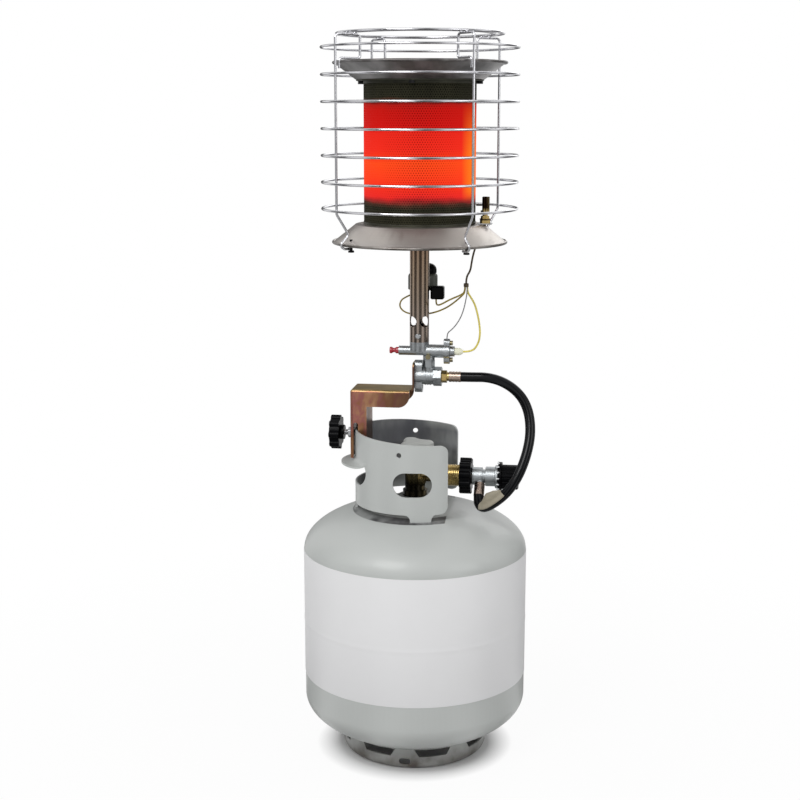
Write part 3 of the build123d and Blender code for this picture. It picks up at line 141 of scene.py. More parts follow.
def vector_maths(tree, operation, first, second=(0, 0, 0), scale=1.0):
    """Output of one Vector Math node: a value for a length or a dot product, else a vector."""
    inputs = {0: first, 1: second, 3: scale}
    outputs = add_node(tree, "ShaderNodeVectorMath", inputs, operation=operation).outputs
    return outputs["Value" if operation in ("LENGTH", "DOT_PRODUCT") else "Vector"]


def split(tree, vector):
    """X, Y and Z of a vector."""
    return add_node(tree, "ShaderNodeSeparateXYZ", {0: vector}).outputs


def joined(tree, x=0.0, y=0.0, z=0.0):
    """Vector from its X, Y and Z."""
    return add_node(tree, "ShaderNodeCombineXYZ", {0: x, 1: y, 2: z}).outputs[0]


def bearing_of(tree, xyz):
    """Angle round the Z axis."""
    return maths(tree, "ARCTAN2", xyz[1], xyz[0])


def own_place(tree, stretch=EVEN):
    """Object coordinates, stretched."""
    place = add_node(tree, "ShaderNodeTexCoord").outputs["Object"]
    return vector_maths(tree, "MULTIPLY", place, stretch)


def noise(tree, place, scale, detail=2.0, distortion=0.0, dimensions="3D"):
    """Value of a Noise Texture."""
    inputs = {"Vector": place, "Scale": scale, "Detail": detail, "Distortion": distortion}
    return add_node(tree, "ShaderNodeTexNoise", inputs, noise_dimensions=dimensions).outputs[0]


def span(tree, value, low, high, start=0.0, end=1.0):
    """Value that goes from start to end while its source goes from low to high."""
    inputs = {0: value, 1: low, 2: high, 3: start, 4: end}
    return add_node(tree, "ShaderNodeMapRange", inputs).outputs[0]


def passed(tree, value, edge, soft):
    """0 before an edge and 1 past it, with a soft step."""
    beyond = maths(tree, "DIVIDE", maths(tree, "SUBTRACT", value, edge), soft)
    return maths(tree, "ADD", beyond, 0.5, clamp=True)


def product(tree, first, *others, clamp=False):
    """All the values multiplied, the last step clamped if asked."""
    for count, other in enumerate(others, 1):
        first = maths(tree, "MULTIPLY", first, other, clamp=clamp and count == len(others))
    return first


def mixed(tree, factor, first, second, blend="MIX"):
    """Colour output of a Mix node."""
    inputs = {0: factor, 6: first, 7: second}
    return add_node(tree, "ShaderNodeMix", inputs, data_type="RGBA", blend_type=blend).outputs[2]


def ramp(tree, factor, stops):
    """Colour output of a Color Ramp with the given (place, colour) stops."""
    node = add_node(tree, "ShaderNodeValToRGB", {0: factor})
    points = node.color_ramp.elements
    while len(points) < len(stops):
        points.new(1.0)
    for point, (place, shade) in zip(points, stops):
        point.position = place
        point.color = shade
    return node.outputs[0]


def either(tree, factor, first, second):
    """Output of a Mix Shader."""
    return add_node(tree, "ShaderNodeMixShader", {0: factor, 1: first, 2: second}).outputs[0]


# %% [markdown]
# ## Light and surroundings
# A cylinder of plain paint needs hardly any modelling by light, so the world gives an even
# level and one large lamp gives it direction. Bright metal is the opposite: it only shows
# what stands round it. Mirror rays therefore see a white room with dark gaps, as in a studio
# where black flags stand between the screens, and their feet reach over the floor too. That
# is what gives wire and tube their crisp upright streaks.

# %% Build the room
FILL_LEVEL = 0.60
GAP_LEVEL, SCREEN_LEVEL = 0.13, 0.92
SCREEN_COUNT, SCREEN_TURN = 6.0, -0.31  # round the room, and their turn in radians
SCREEN_EDGE, SCREEN_SHARE = 1.4, 0.15  # hardness of their edges, and their excess over the gaps
SCREEN_RISE = 2.2  # how soon the gaps close above eye level


def studio_screens(tree, azimuth, lift):
    """Level that a mirror sees in a direction: bright screens with dark gaps between them."""
    wave = maths(tree, "SINE", maths(tree, "MULTIPLY_ADD", azimuth, SCREEN_COUNT, SCREEN_TURN))
    shaped = maths(tree, "MULTIPLY_ADD", wave, SCREEN_EDGE, SCREEN_SHARE)
    lit = maths(tree, "ADD", shaped, lift, clamp=True)
    return maths(tree, "MULTIPLY_ADD", lit, SCREEN_LEVEL - GAP_LEVEL, GAP_LEVEL)


world = bpy.data.worlds.new("studio_room")
world.use_nodes = True
scene.world = world
room = world.node_tree
room.nodes.clear()
direction = split(room, add_node(room, "ShaderNodeTexCoord").outputs["Generated"])
lift = maths(room, "MULTIPLY", direction[2], SCREEN_RISE)


def room_light(level):
    """White light of a level, from all round."""
    return add_node(room, "ShaderNodeBackground", {"Color": WHITE, "Strength": level}).outputs[0]


mirror = room_light(studio_screens(room, bearing_of(room, direction), lift))
path = add_node(room, "ShaderNodeLightPath").outputs
straight = maths(room, "MAXIMUM", path["Is Camera Ray"], path["Is Transmission Ray"])
lit_room = either(room, path["Is Glossy Ray"], room_light(FILL_LEVEL), mirror)
add_node(room, "ShaderNodeOutputWorld", {0: either(room, straight, lit_room, room_light(1.0))})

# %% Hang the lamps
LAMPS = {  # place, point that it faces, width, watts
    "key_lamp": ((-1.0, -2.2, 2.55), (0, 0, 0.45), 1.5, 52),
    "side_lamp": ((2.2, -1.2, 1.4), (0, 0, 0.6), 1.2, 11),
    "back_lamp": ((0.6, 2.4, 2.0), (0, 0, 0.5), 1.6, 9),
}
for name, (place, target, width, watts) in LAMPS.items():
    lamp_data = bpy.data.lights.new(name, "AREA")
    lamp_data.shape = "SQUARE"
    lamp_data.size = width
    lamp_data.energy = watts
    lamp = new_object(name, lamp_data)
    lamp.location = place
    lamp.rotation_euler = (Vector(target) - Vector(place)).to_track_quat("-Z", "Y").to_euler()
print("lamps:", len(LAMPS))

# %% [markdown]
# A real white sheet would need so much light that the object's own whites would burn out.
# So the floor is a matt grey that takes shadows, and to the camera and to mirrors it is
# nearly as white as the background, except inside the foot ring.

# %% Lay the floor
FLOOR_HALF, FLOOR_Z = 9.0, -0.0002
FLOOR_GREY = (0.7, 0.7, 0.7, 1)
UNDER_TANK = (0.105, 0.140)  # the floor inside the foot ring keeps its own shade
FAR_FLOOR = (0.30, 1.00)  # further out it melts into the background
NEAR_WHITE, FAR_WHITE = 0.95, 0.05

floor_mesh = bpy.data.meshes.new("studio_floor")
corners = [(x * FLOOR_HALF, y * FLOOR_HALF, FLOOR_Z) for x, y in ((-1, -1), (1, -1), (1, 1), (-1, 1))]
floor_mesh.from_pydata(corners, [], [(0, 1, 2, 3)])
floor = new_object("studio_floor", floor_mesh)


def empty_material(name):
    """New material without nodes, and its tree."""
    material = bpy.data.materials.new(name)
    material.use_nodes = True
    material.node_tree.nodes.clear()
    return material, material.node_tree


floor_paint, tree = empty_material("pale_floor")
matt = add_node(tree, "ShaderNodeBsdfDiffuse", {"Color": FLOOR_GREY}).outputs[0]
seen = add_node(tree, "ShaderNodeLightPath").outputs
ground = add_node(tree, "ShaderNodeTexCoord").outputs["Object"]
mirrored = maths(tree, "SUBTRACT", studio_screens(tree, bearing_of(tree, split(tree, ground)), 0.0), 1.0)
pale_level = maths(tree, "MULTIPLY_ADD", seen["Is Glossy Ray"], mirrored, 1.0)
pale = add_node(tree, "ShaderNodeEmission", {"Color": WHITE, "Strength": pale_level}).outputs[0]
distance = vector_maths(tree, "LENGTH", ground)
near = span(tree, distance, *UNDER_TANK, 0.0, NEAR_WHITE)
far = span(tree, distance, *FAR_FLOOR, 0.0, FAR_WHITE)
ray = maths(tree, "MAXIMUM", seen["Is Camera Ray"], seen["Is Glossy Ray"])
share = maths(tree, "MULTIPLY", ray, maths(tree, "ADD", near, far))
add_node(tree, "ShaderNodeOutputMaterial", {0: either(tree, share, matt, pale)})
floor_mesh.materials.append(floor_paint)

# %% [markdown]
# ## Effects that several finishes share
# Enamel, casting and sheet all vary a little over their surface. Each such effect is built
# once as a shader group with named sockets, and every finish sets its own amounts. The
# groups give out only colours, masks and heights, and the shader itself stays outside.

# %% Start a shader group
SOCKET_KINDS = {int: "Int", float: "Float", 3: "Vector", 4: "Color"}


def add_sockets(group, side, sockets):
    """Named sockets, each given by its usual value or, where it has none, by its kind."""
    for label, usual in sockets.items():
        bare = isinstance(usual, str)
        kind = usual if bare else SOCKET_KINDS[len(usual) if isinstance(usual, tuple) else type(usual)]
        socket = group.interface.new_socket(label, in_out=side, socket_type="NodeSocket" + kind)
        if not bare:
            socket.default_value = usual


def shader_group(name, inputs, outputs):
    """New shader group. Returns its tree, its inputs' values and its outputs."""
    group = bpy.data.node_groups.new(name, "ShaderNodeTree")
    add_sockets(group, "INPUT", inputs)
    add_sockets(group, "OUTPUT", outputs)
    return group, group.nodes.new("NodeGroupInput").outputs, group.nodes.new("NodeGroupOutput").inputs


# %% Uneven colour: soft patches a little lighter and darker
tree, given, made = shader_group(
    "uneven_colour",
    {"Color": WHITE, "Depth": 0.05, "Scale": 20.0, "Stretch": EVEN},
    {"Color": "Color", "Mask": "Float"},
)
mask = span(tree, noise(tree, own_place(tree, given["Stretch"]), given["Scale"], detail=5.0), 0.3, 0.7)
swing = maths(tree, "MULTIPLY", maths(tree, "SUBTRACT", mask, 0.5), given["Depth"])
lightness = maths(tree, "MULTIPLY_ADD", swing, 2.0, 1.0)
varied = add_node(tree, "ShaderNodeHueSaturation", {"Color": given["Color"], "Value": lightness}).outputs[0]
tree.links.new(varied, made["Color"])
tree.links.new(mask, made["Mask"])

# %% Fine grain: height of a cast, brushed or orange-peel surface
tree, given, made = shader_group("fine_grain", {"Scale": 500.0, "Stretch": EVEN}, {"Height": "Float"})
grain = noise(tree, own_place(tree, given["Stretch"]), given["Scale"], detail=4.0)
tree.links.new(grain, made["Height"])

# %% Turning lines: what a lathe or a spinning tool leaves round an axis
tree, given, made = shader_group(
    "turning_lines", {"Centre": (0.0, 0.0, 0.0), "Axis": UP, "Scale": 600.0}, {"Height": "Float"}
)
place = add_node(tree, "ShaderNodeTexCoord").outputs["Object"]
arm = vector_maths(tree, "SUBTRACT", place, given["Centre"])
along = vector_maths(tree, "DOT_PRODUCT", arm, given["Axis"])
out = vector_maths(tree, "SUBTRACT", arm, vector_maths(tree, "SCALE", given["Axis"], scale=along))
lathe_place = joined(tree, vector_maths(tree, "LENGTH", out), along)
lines = noise(tree, lathe_place, given["Scale"], detail=3.0, dimensions="2D")
tree.links.new(lines, made["Height"])

# %% Scuffs: thin scratches that come in patches
tree, given, made = shader_group("scuffs", {"Scale": 60.0, "Amount": 0.3}, {"Mask": "Float"})
place = own_place(tree, (1.0, 1.6, 0.7))
ridge = maths(tree, "SUBTRACT", noise(tree, place, given["Scale"], distortion=1.5), 0.5)
thin = span(tree, maths(tree, "ABSOLUTE", ridge), 0.0, 0.008, 1.0, 0.0)
patch = span(tree, noise(tree, place, maths(tree, "MULTIPLY", given["Scale"], 0.3)), 0.52, 0.62)
tree.links.new(product(tree, thin, patch, given["Amount"]), made["Mask"])

# %% Heat tint: steel goes from straw through brown to blue as it nears the burner
HEAT_STOPS = [
    (0.0, (1.0, 1.0, 1.0, 1.0)),
    (0.4, (1.0, 0.86, 0.66, 1.0)),
    (0.65, (0.86, 0.58, 0.42, 1.0)),
    (0.82, (0.66, 0.5, 0.62, 1.0)),
    (1.0, (0.55, 0.62, 0.78, 1.0)),
]
HEAT_WANDER = 0.02  # metres by which the tint's edge wanders
tree, given, made = shader_group(
    "heat_tint", {"Color": WHITE, "Cool Z": 0.0, "Hot Z": 1.0, "Amount": 0.5}, {"Color": "Color"}
)
level = split(tree, own_place(tree))[2]
wave = maths(tree, "SUBTRACT", noise(tree, own_place(tree), 45.0), 0.5)
shifted = maths(tree, "MULTIPLY_ADD", wave, HEAT_WANDER, level)
tint = ramp(tree, span(tree, shifted, given["Cool Z"], given["Hot Z"]), HEAT_STOPS)
heated = mixed(tree, 1.0, given["Color"], tint, "MULTIPLY")
tree.links.new(mixed(tree, given["Amount"], given["Color"], heated), made["Color"])

# %% Ground dust: dull dirt that gathers between two heights
tree, given, made = shader_group(
    "ground_dust",
    {"Color": WHITE, "Dust": WHITE, "Low": 0.0, "High": 0.05, "Amount": 0.4},
    {"Color": "Color"},
)
near = span(tree, split(tree, own_place(tree))[2], given["Low"], given["High"], 1.0, 0.0)
cloud = noise(tree, own_place(tree), 38.0, detail=6.0)
share = product(tree, near, cloud, given["Amount"], clamp=True)
tree.links.new(mixed(tree, share, given["Color"], given["Dust"]), made["Color"])

# %% Ring of dirt and shade: a darker ring round an upright axis, for soot and for painted shade
ring_sizes = {"Centre X": 0.0, "Inner": 0.0, "Outer": 0.1, "Low": 0.0, "High": 0.1, "Side X": 1.0}
ring_edges = {"Soft": 0.001, "Blur": 0.001, "Amount": 0.5}
tree, given, made = shader_group(
    "ring_grime", {"Color": WHITE, "Dirt And Shade": WHITE, **ring_sizes, **ring_edges}, {"Color": "Color"}
)
xyz = split(tree, own_place(tree))
across = maths(tree, "SUBTRACT", xyz[0], given["Centre X"])
squared = maths(tree, "MULTIPLY_ADD", across, across, maths(tree, "MULTIPLY", xyz[1], xyz[1]))
reach = maths(tree, "SQRT", squared)
soft, blur = given["Soft"], given["Blur"]
limits = [
    passed(tree, reach, given["Inner"], soft),
    passed(tree, xyz[2], given["Low"], blur),
    passed(tree, given["Outer"], reach, soft),
    passed(tree, given["High"], xyz[2], blur),
    passed(tree, given["Side X"], xyz[0], blur),
]
streaks = span(tree, noise(tree, own_place(tree, (1.0, 1.0, 0.4)), 32.0, detail=3.0), 0.35, 0.6, 0.55, 1.0)
covered = product(tree, given["Amount"], *limits, streaks, clamp=True)
tree.links.new(mixed(tree, covered, given["Color"], given["Dirt And Shade"]), made["Color"])
print("shader groups:", [group.name for group in bpy.data.node_groups])

# %% [markdown]
# ## The finishes
# One function lays the shared effects in the usual order: patches in the colour, scuffs,
# then grain or turning lines as bump. What is special about a finish, such as heat tint on
# the burner's steel, is wired in afterwards.

# %% Define how a finish is made
BUMP_HEIGHT = 0.0004  # metres between the lowest and the highest grain
ROUGH_SWING = 0.12  # how far the patches spread the roughness


def grouped(tree, group, inputs):
    """One of the shader groups, placed in a finish."""
    return add_node(tree, "ShaderNodeGroup", inputs, node_tree=bpy.data.node_groups[group]).outputs


def make_finish(
    name, shade, rough, metal, patches, grain,
    stretch=EVEN, grain_stretch=EVEN, turned=None, scuff=None, coat=0.0, shine=0.5,
):
    """
    Material and its Principled BSDF. Patches are (depth, scale), grain is (scale, strength),
    turned is (centre, axis) and scuff is (amount, display colour).
    """
    material, tree = empty_material(name)
    depth, size = patches
    patchy = {"Color": colour(*shade), "Depth": depth, "Scale": size, "Stretch": stretch}
    patched = grouped(tree, "uneven_colour", patchy)
    source = patched["Color"]
    if scuff:
        source = mixed(tree, grouped(tree, "scuffs", {"Amount": scuff[0]})[0], source, colour(*scuff[1]))
    if turned:
        height = grouped(tree, "turning_lines", {"Centre": turned[0], "Axis": turned[1], "Scale": grain[0]})
    else:
        height = grouped(tree, "fine_grain", {"Scale": grain[0], "Stretch": grain_stretch})
    relief = {"Strength": grain[1], "Distance": BUMP_HEIGHT, "Height": height[0]}
    looks = {
        "Base Color": source,
        "Roughness": maths(tree, "MULTIPLY_ADD", patched["Mask"], ROUGH_SWING, rough - ROUGH_SWING / 2),
        "Metallic": metal,
        "Normal": add_node(tree, "ShaderNodeBump", relief).outputs[0],
        "Coat Weight": coat,
        "Specular IOR Level": shine,
    }
    surface = add_node(tree, "ShaderNodeBsdfPrincipled", looks)
    add_node(tree, "ShaderNodeOutputMaterial", {0: surface.outputs[0]})
    return material, surface


# %% [markdown]
# Each finish is a row: its material's name, its display colour, roughness and metal, then
# the depth and scale of its patches, the scale and strength of its grain, and extras.

# %% Make the plain finishes
GAS_Z, HEAD_X = 0.3935, 0.0055
HEAD_AXIS, GAS_LINE = (HEAD_X, 0.0, 0.0), (0.0, 0.0, GAS_Z)
DRAWN = {"stretch": (1, 1, 0.04), "grain_stretch": (1, 1, 0.03)}
FINISHES = {
    "tank_paint": ("grey_enamel", (178, 181, 179), 0.42, 0, (0.02, 7), (420, 0.05), {"coat": 0.15}),
    "sleeve": (
        "pale_sleeve", (217, 217, 218), 0.5, 0, (0.012, 9), (26, 0.1), {"grain_stretch": (1, 1, 0.35)},
    ),
    "brass": (
        "machined_brass", (184, 160, 104), 0.24, 1, (0.3, 90), (900, 0.2), {"turned": (GAS_LINE, ALONG)},
    ),
    "wheel_plastic": ("grey_moulding", (164, 166, 163), 0.46, 0, (0.1, 25), (1200, 0.12), {}),
    "float_plastic": ("natural_moulding", (214, 212, 200), 0.5, 0, (0.05, 25), (1200, 0.1), {}),
    "black_plastic": (
        "black_moulding", (5, 5, 7), 0.3, 0, (0.1, 25), (1400, 0.08),
        {"scuff": (0.08, (34, 34, 38)), "shine": 0.06},
    ),
    "cast_alloy": ("blasted_casting", (166, 170, 172), 0.38, 1, (0.12, 90), (950, 0.45), {}),
    "copper": ("crimped_copper", (168, 150, 138), 0.22, 1, (0.15, 90), (700, 0.12), {}),
    "hose_rubber": ("hose_rubber", (4, 5, 8), 0.2, 0, (0.12, 25), (500, 0.03), {"shine": 0.22}),
    "zinc_steel": ("zinc_plate", (176, 178, 180), 0.3, 1, (0.14, 80), (800, 0.12), {}),
    "ivory_plastic": ("ivory_moulding", (226, 226, 204), 0.42, 0, (0.06, 80), (1300, 0.1), {}),
    "red_plastic": ("red_moulding", (158, 10, 34), 0.24, 0, (0.08, 120), (1300, 0.04), {"coat": 0.5}),
    "switch_grey": ("switch_moulding", (66, 70, 62), 0.46, 0, (0.08, 60), (1200, 0.12), {}),
    "cap_steel": ("scaled_sheet", (70, 70, 60), 0.5, 0.8, (0.25, 50), (500, 0.2), {}),
    "dark_screw": ("blackened_screw", (30, 30, 31), 0.38, 0.8, (0.15, 200), (900, 0.2), {}),
    "guard_chrome": ("plated_wire", (212, 212, 216), 0.14, 1, (0.05, 60), (900, 0.05), {}),
    "lead_brown": ("fibre_lead", (72, 60, 38), 0.6, 0, (0.25, 160), (2200, 0.5), {}),
    "lead_yellow": ("yellow_lead", (216, 200, 92), 0.35, 0, (0.08, 90), (900, 0.05), {}),
    "lead_olive": ("olive_lead", (146, 126, 34), 0.36, 0, (0.2, 80), (900, 0.05), {}),
    "lead_silver": ("fine_capillary", (176, 176, 178), 0.3, 1, (0.1, 90), (900, 0.05), {}),
    "stainless_tube": ("drawn_tube", (154, 141, 131), 0.21, 1, (0.2, 130), (700, 0.05), DRAWN),
    "tag_paper": ("tag_paper", (146, 139, 122), 0.5, 0, (0.06, 120), (1500, 0.05), {}),
    "dish_steel": (
        "spun_dish", (194, 190, 187), 0.34, 0.85, (0.08, 14), (420, 0.2), {"turned": (HEAD_AXIS, UP)},
    ),
    "bracket_zinc": (
        "passivated_sheet", (196, 150, 118), 0.34, 0.85, (0.1, 30), (420, 0.12),
        {"grain_stretch": (0.2, 1, 1)},
    ),
    "dull_brass": ("dull_brass", (140, 132, 104), 0.32, 1, (0.25, 120), (900, 0.2), {}),
    "dial_marks": ("white_marks", (226, 228, 230), 0.5, 0, (0.05, 25), (900, 0.1), {}),
}
materials, surfaces = {}, {}
for slot, (*basics, extras) in FINISHES.items():
    materials[slot], surfaces[slot] = make_finish(*basics, **extras)
print("finishes:", len(materials))


# %% Add dust to the enamel and heat to the burner's steel
def relink_colour(surface, build):
    """Passes what feeds Base Color through build, which returns the new source."""
    tree, socket = surface.id_data, surface.inputs["Base Color"]
    tree.links.new(build(tree, socket.links[0].from_socket), socket)


def lay_over(slot, group, values):
    """Lays one shared effect over a finish's colour."""
    relink_colour(surfaces[slot], lambda tree, source: grouped(tree, group, {"Color": source, **values})[0])


dust = {"Dust": colour(78, 72, 66), "Low": 0.008, "High": 0.042, "Amount": 1.5}
lay_over("tank_paint", "ground_dust", dust)
lay_over("stainless_tube", "heat_tint", {"Cool Z": 0.60, "Hot Z": 0.80, "Amount": 0.8})
lay_over("dish_steel", "heat_tint", {"Cool Z": 0.700, "Hot Z": 0.765, "Amount": 0.2})

# %% [markdown]
# Shade is painted where pieces stand close: on the shoulder under the collar's edge, inside
# the collar, on the valve down in its well and on the jet inside the mixing tube, and the
# upper dish's middle gets a painted dark reflection. The rolled rims are darker, and soot
# darkens the sensor's hood. Each is one darker ring with its own sizes: the finish, the
# ring's colour, the axis, how far out and how high it lies, where it ends towards the mouth
# of the collar, how blurred its edge is, and its amount.

# %% Lay the rings of soot and painted shade
INSIDE, NO_END = -1.0, 1.0  # a disc without a hole, and a ring that goes all the way round
SENSOR_X = 0.0935
RINGS = [
    # painted shadow of the gap under the collar's edge, on the shoulder outside and inside the band
    ("tank_paint", (50, 50, 52), 0.0, (0.0795, 0.0866), (0.330, 0.3464), 0.050, 0.001, 0.95),
    ("tank_paint", (50, 50, 52), 0.0, (0.0690, 0.0796), (0.330, 0.3540), 0.050, 0.001, 0.95),
    # painted shade inside the collar, deepest at the bottom of the valve's well
    ("tank_paint", (98, 100, 106), 0.0, (INSIDE, 0.0812), (0.4100, 0.500), 0.006, 0.014, 1.0),
    ("tank_paint", (98, 100, 106), 0.0, (INSIDE, 0.0812), (0.4100, 0.446), NO_END, 0.010, 1.0),
    ("tank_paint", (44, 44, 46), 0.0, (INSIDE, 0.0812), (0.3620, 0.418), NO_END, 0.012, 0.95),
    # painted shade on the valve's body and base, down in that well
    ("brass", (92, 86, 64), 0.0, (INSIDE, 0.0420), (0.3400, 0.460), NO_END, 0.004, 0.85),
    ("brass", (26, 24, 20), 0.0, (INSIDE, 0.0330), (0.3400, 0.386), NO_END, 0.008, 0.95),
    # painted shade on the jet, dark inside the mixing tube
    ("brass", (12, 11, 10), HEAD_X, (INSIDE, 0.0120), (0.5800, 0.640), NO_END, 0.001, 2.0),
    # painted dark reflection on the middle of the upper dish, and both rolled rims darker
    ("dish_steel", (66, 67, 65), HEAD_X, (INSIDE, 0.1125), (0.9280, 0.960), NO_END, 0.001, 0.72),
    ("dish_steel", (54, 50, 46), HEAD_X, (0.1120, 0.1170), (0.9475, 0.960), NO_END, 0.001, 0.85),
    ("dish_steel", (60, 54, 48), HEAD_X, (0.1142, 0.1190), (0.7000, 0.7175), NO_END, 0.001, 0.85),
    # the sensor's sooty hood and nuts
    ("brass", (34, 22, 16), SENSOR_X, (INSIDE, 0.0120), (0.7600, 0.800), NO_END, 0.004, 1.15),
    ("brass", (34, 28, 22), SENSOR_X, (INSIDE, 0.0120), (0.7455, 0.7475), NO_END, 0.001, 1.2),
]
for slot, dirt_and_shade, centre, (inner, outer), (low, high), end, blur, amount in RINGS:
    values = {"Dirt And Shade": colour(*dirt_and_shade), "Centre X": centre, "Inner": inner, "Outer": outer}
    values |= {"Low": low, "High": high, "Side X": end, "Blur": blur, "Amount": amount}
    lay_over(slot, "ring_grime", values)
print("rings of grime:", len(RINGS))

# %% [markdown]
# Yellow passivation is a film that is thinner in some places than in others, so its colour
# wanders between pink, straw and olive. Noise picks a place on a ramp of those colours, and
# level faces sit further along it. Upright faces darken towards the cylinder's axis, and the
# faces that look at the cylinder's middle get painted shade all over, as little light comes back from
# there.

# %% Give the bracket its wandering colour and its painted shade
FILM_STOPS = [
    (0.30, colour(222, 176, 152)),
    (0.38, colour(200, 152, 120)),
    (0.46, colour(170, 124, 92)),
    (0.51, colour(152, 92, 90)),
    (0.56, colour(142, 92, 66)),
    (0.66, colour(166, 132, 90)),
    (0.80, colour(158, 138, 88)),
    (0.95, colour(132, 116, 72)),
]
FILM_SHADE = colour(38, 22, 13)


def passivated_and_shaded(tree, source):
    """Film colours of yellow zinc, darker towards the axis, with painted shade on inward faces."""
    film = noise(tree, own_place(tree, (1.0, 1.0, 0.6)), 26.0, detail=4.0, distortion=0.4)
    facing = split(tree, add_node(tree, "ShaderNodeNewGeometry").outputs["Normal"])
    level = maths(tree, "ABSOLUTE", facing[2])
    film_colour = ramp(tree, maths(tree, "MULTIPLY_ADD", level, 0.4, film), FILM_STOPS)
    upright = maths(tree, "SUBTRACT", 1.0, level, clamp=True)
    darker_towards_axis = span(tree, split(tree, own_place(tree))[0], -0.075, -0.01, 0.0, 0.8)
    # painted shade on the faces that look at the cylinder's middle
    inward = span(tree, facing[0], 0.5, 0.9, 0.0, 0.8)
    shaded = maths(tree, "MAXIMUM", maths(tree, "MULTIPLY", darker_towards_axis, upright), inward)
    return mixed(tree, 0.9, source, mixed(tree, shaded, film_colour, FILM_SHADE))


relink_colour(surfaces["bracket_zinc"], passivated_and_shaded)
print("colours of the film:", len(FILM_STOPS))

# %% [markdown]
# ## The glowing screen
# In use the perforated screen is a lamp of its own. It stays dark near both ends, is deep
# red high up, and brightens to orange lower down and along the seam, where the sheet is
# double and holds its heat. Height and bearing round the head's axis pick the colour, and
# noise that is stretched round the drum breaks it into faint bands.

# %% Make the glow
SCREEN_FOOT, SCREEN_TOP = 0.740, 0.9275
GLOW_FOOT, GLOW_TOP = 0.772, 0.902
GLOW_STOPS = [
    (0.130, colour(0, 0, 0)),
    (0.155, colour(60, 20, 16)),
    (0.180, colour(160, 34, 34)),
    (0.210, colour(236, 42, 36)),
    (0.270, colour(246, 48, 28)),
    (0.330, colour(255, 62, 26)),
    (0.440, colour(255, 74, 24)),
    (0.485, colour(246, 52, 24)),
    (0.525, colour(242, 42, 26)),
    (0.645, colour(236, 38, 24)),
    (0.685, colour(204, 18, 14)),
    (0.800, colour(196, 18, 12)),
    (0.835, colour(176, 24, 18)),
    (0.855, colour(70, 14, 10)),
    (0.880, colour(0, 0, 0)),
]
SEAM_BEARING = math.radians(-8)  # where the ends of the sheet lap over each other
SEAM_COLOUR = colour(255, 124, 22)
BAND_ROUND = 0.03  # a small circle for the noise, so that its bands run round the drum
SPILL_LOSS = 0.88  # part of the glow that doesn't light its surroundings
UNLIT_SHEET = colour(12, 3, 2)  # the sheet's own colour where it glows


def glow_colour(tree, dimming):
    """Emission colour over the drum, from height and bearing."""
    xyz = split(tree, add_node(tree, "ShaderNodeTexCoord").outputs["Object"])
    bearing = maths(tree, "ARCTAN2", xyz[1], maths(tree, "SUBTRACT", xyz[0], HEAD_X))
    x, y = (maths(tree, "MULTIPLY", maths(tree, wave, bearing), BAND_ROUND) for wave in ("COSINE", "SINE"))
    bands = noise(tree, joined(tree, x, y, xyz[2]), 55.0, detail=3.0)
    height = span(tree, xyz[2], SCREEN_FOOT, SCREEN_TOP)
    uneven = maths(tree, "MULTIPLY_ADD", maths(tree, "SUBTRACT", bands, 0.5), 0.055, height)
    seam = maths(tree, "COSINE", maths(tree, "SUBTRACT", bearing, SEAM_BEARING))
    rich = span(tree, seam, 0.885, 0.975)
    middle = span(tree, height, 0.17, 0.24)
    upper = span(tree, height, 0.86, 0.5)
    yellow = maths(tree, "MULTIPLY", rich, maths(tree, "MULTIPLY", middle, upper))
    warm = mixed(tree, maths(tree, "MULTIPLY", yellow, 0.85), ramp(tree, uneven, GLOW_STOPS), SEAM_COLOUR)
    return mixed(tree, dimming, warm, BLACK)


def glowing(slot, name, shade, dimming):
    """Finish of sheet that glows between two heights."""
    material, surface = make_finish(
        name, shade, 0.75, 0, (0.22, 90), (700, 0.2), stretch=(1, 1, 0.12), shine=0.08
    )
    materials[slot], surfaces[slot] = material, surface
    tree = material.node_tree
    level = split(tree, own_place(tree))[2]
    above, below = passed(tree, level, GLOW_FOOT, 0.006), passed(tree, GLOW_TOP, level, 0.004)
    hot = maths(tree, "MULTIPLY", above, below)
    relink_colour(surface, lambda tree, source: mixed(tree, hot, source, UNLIT_SHEET))
    glow = glow_colour(tree, dimming)
    onlooker = add_node(tree, "ShaderNodeLightPath").outputs["Is Camera Ray"]
    seen_glow = mixed(tree, onlooker, mixed(tree, SPILL_LOSS, glow, BLACK), glow)
    tree.links.new(seen_glow, surface.inputs["Emission Color"])
    surface.inputs["Emission Strength"].default_value = 1.0


glowing("screen_steel", "glowing_screen", (46, 45, 33), 0.0)
glowing("screen_core", "glowing_core", (20, 17, 12), 0.6)

# %% [markdown]
# ## The hose and the leads
# A hose is one smooth line with a round section, so each is a NURBS curve with a bevel.
# The control points are those of the solids, and the spline rounds them off by itself.
# Each row gives the finish, the radius in millimetres, the declared length and the points.

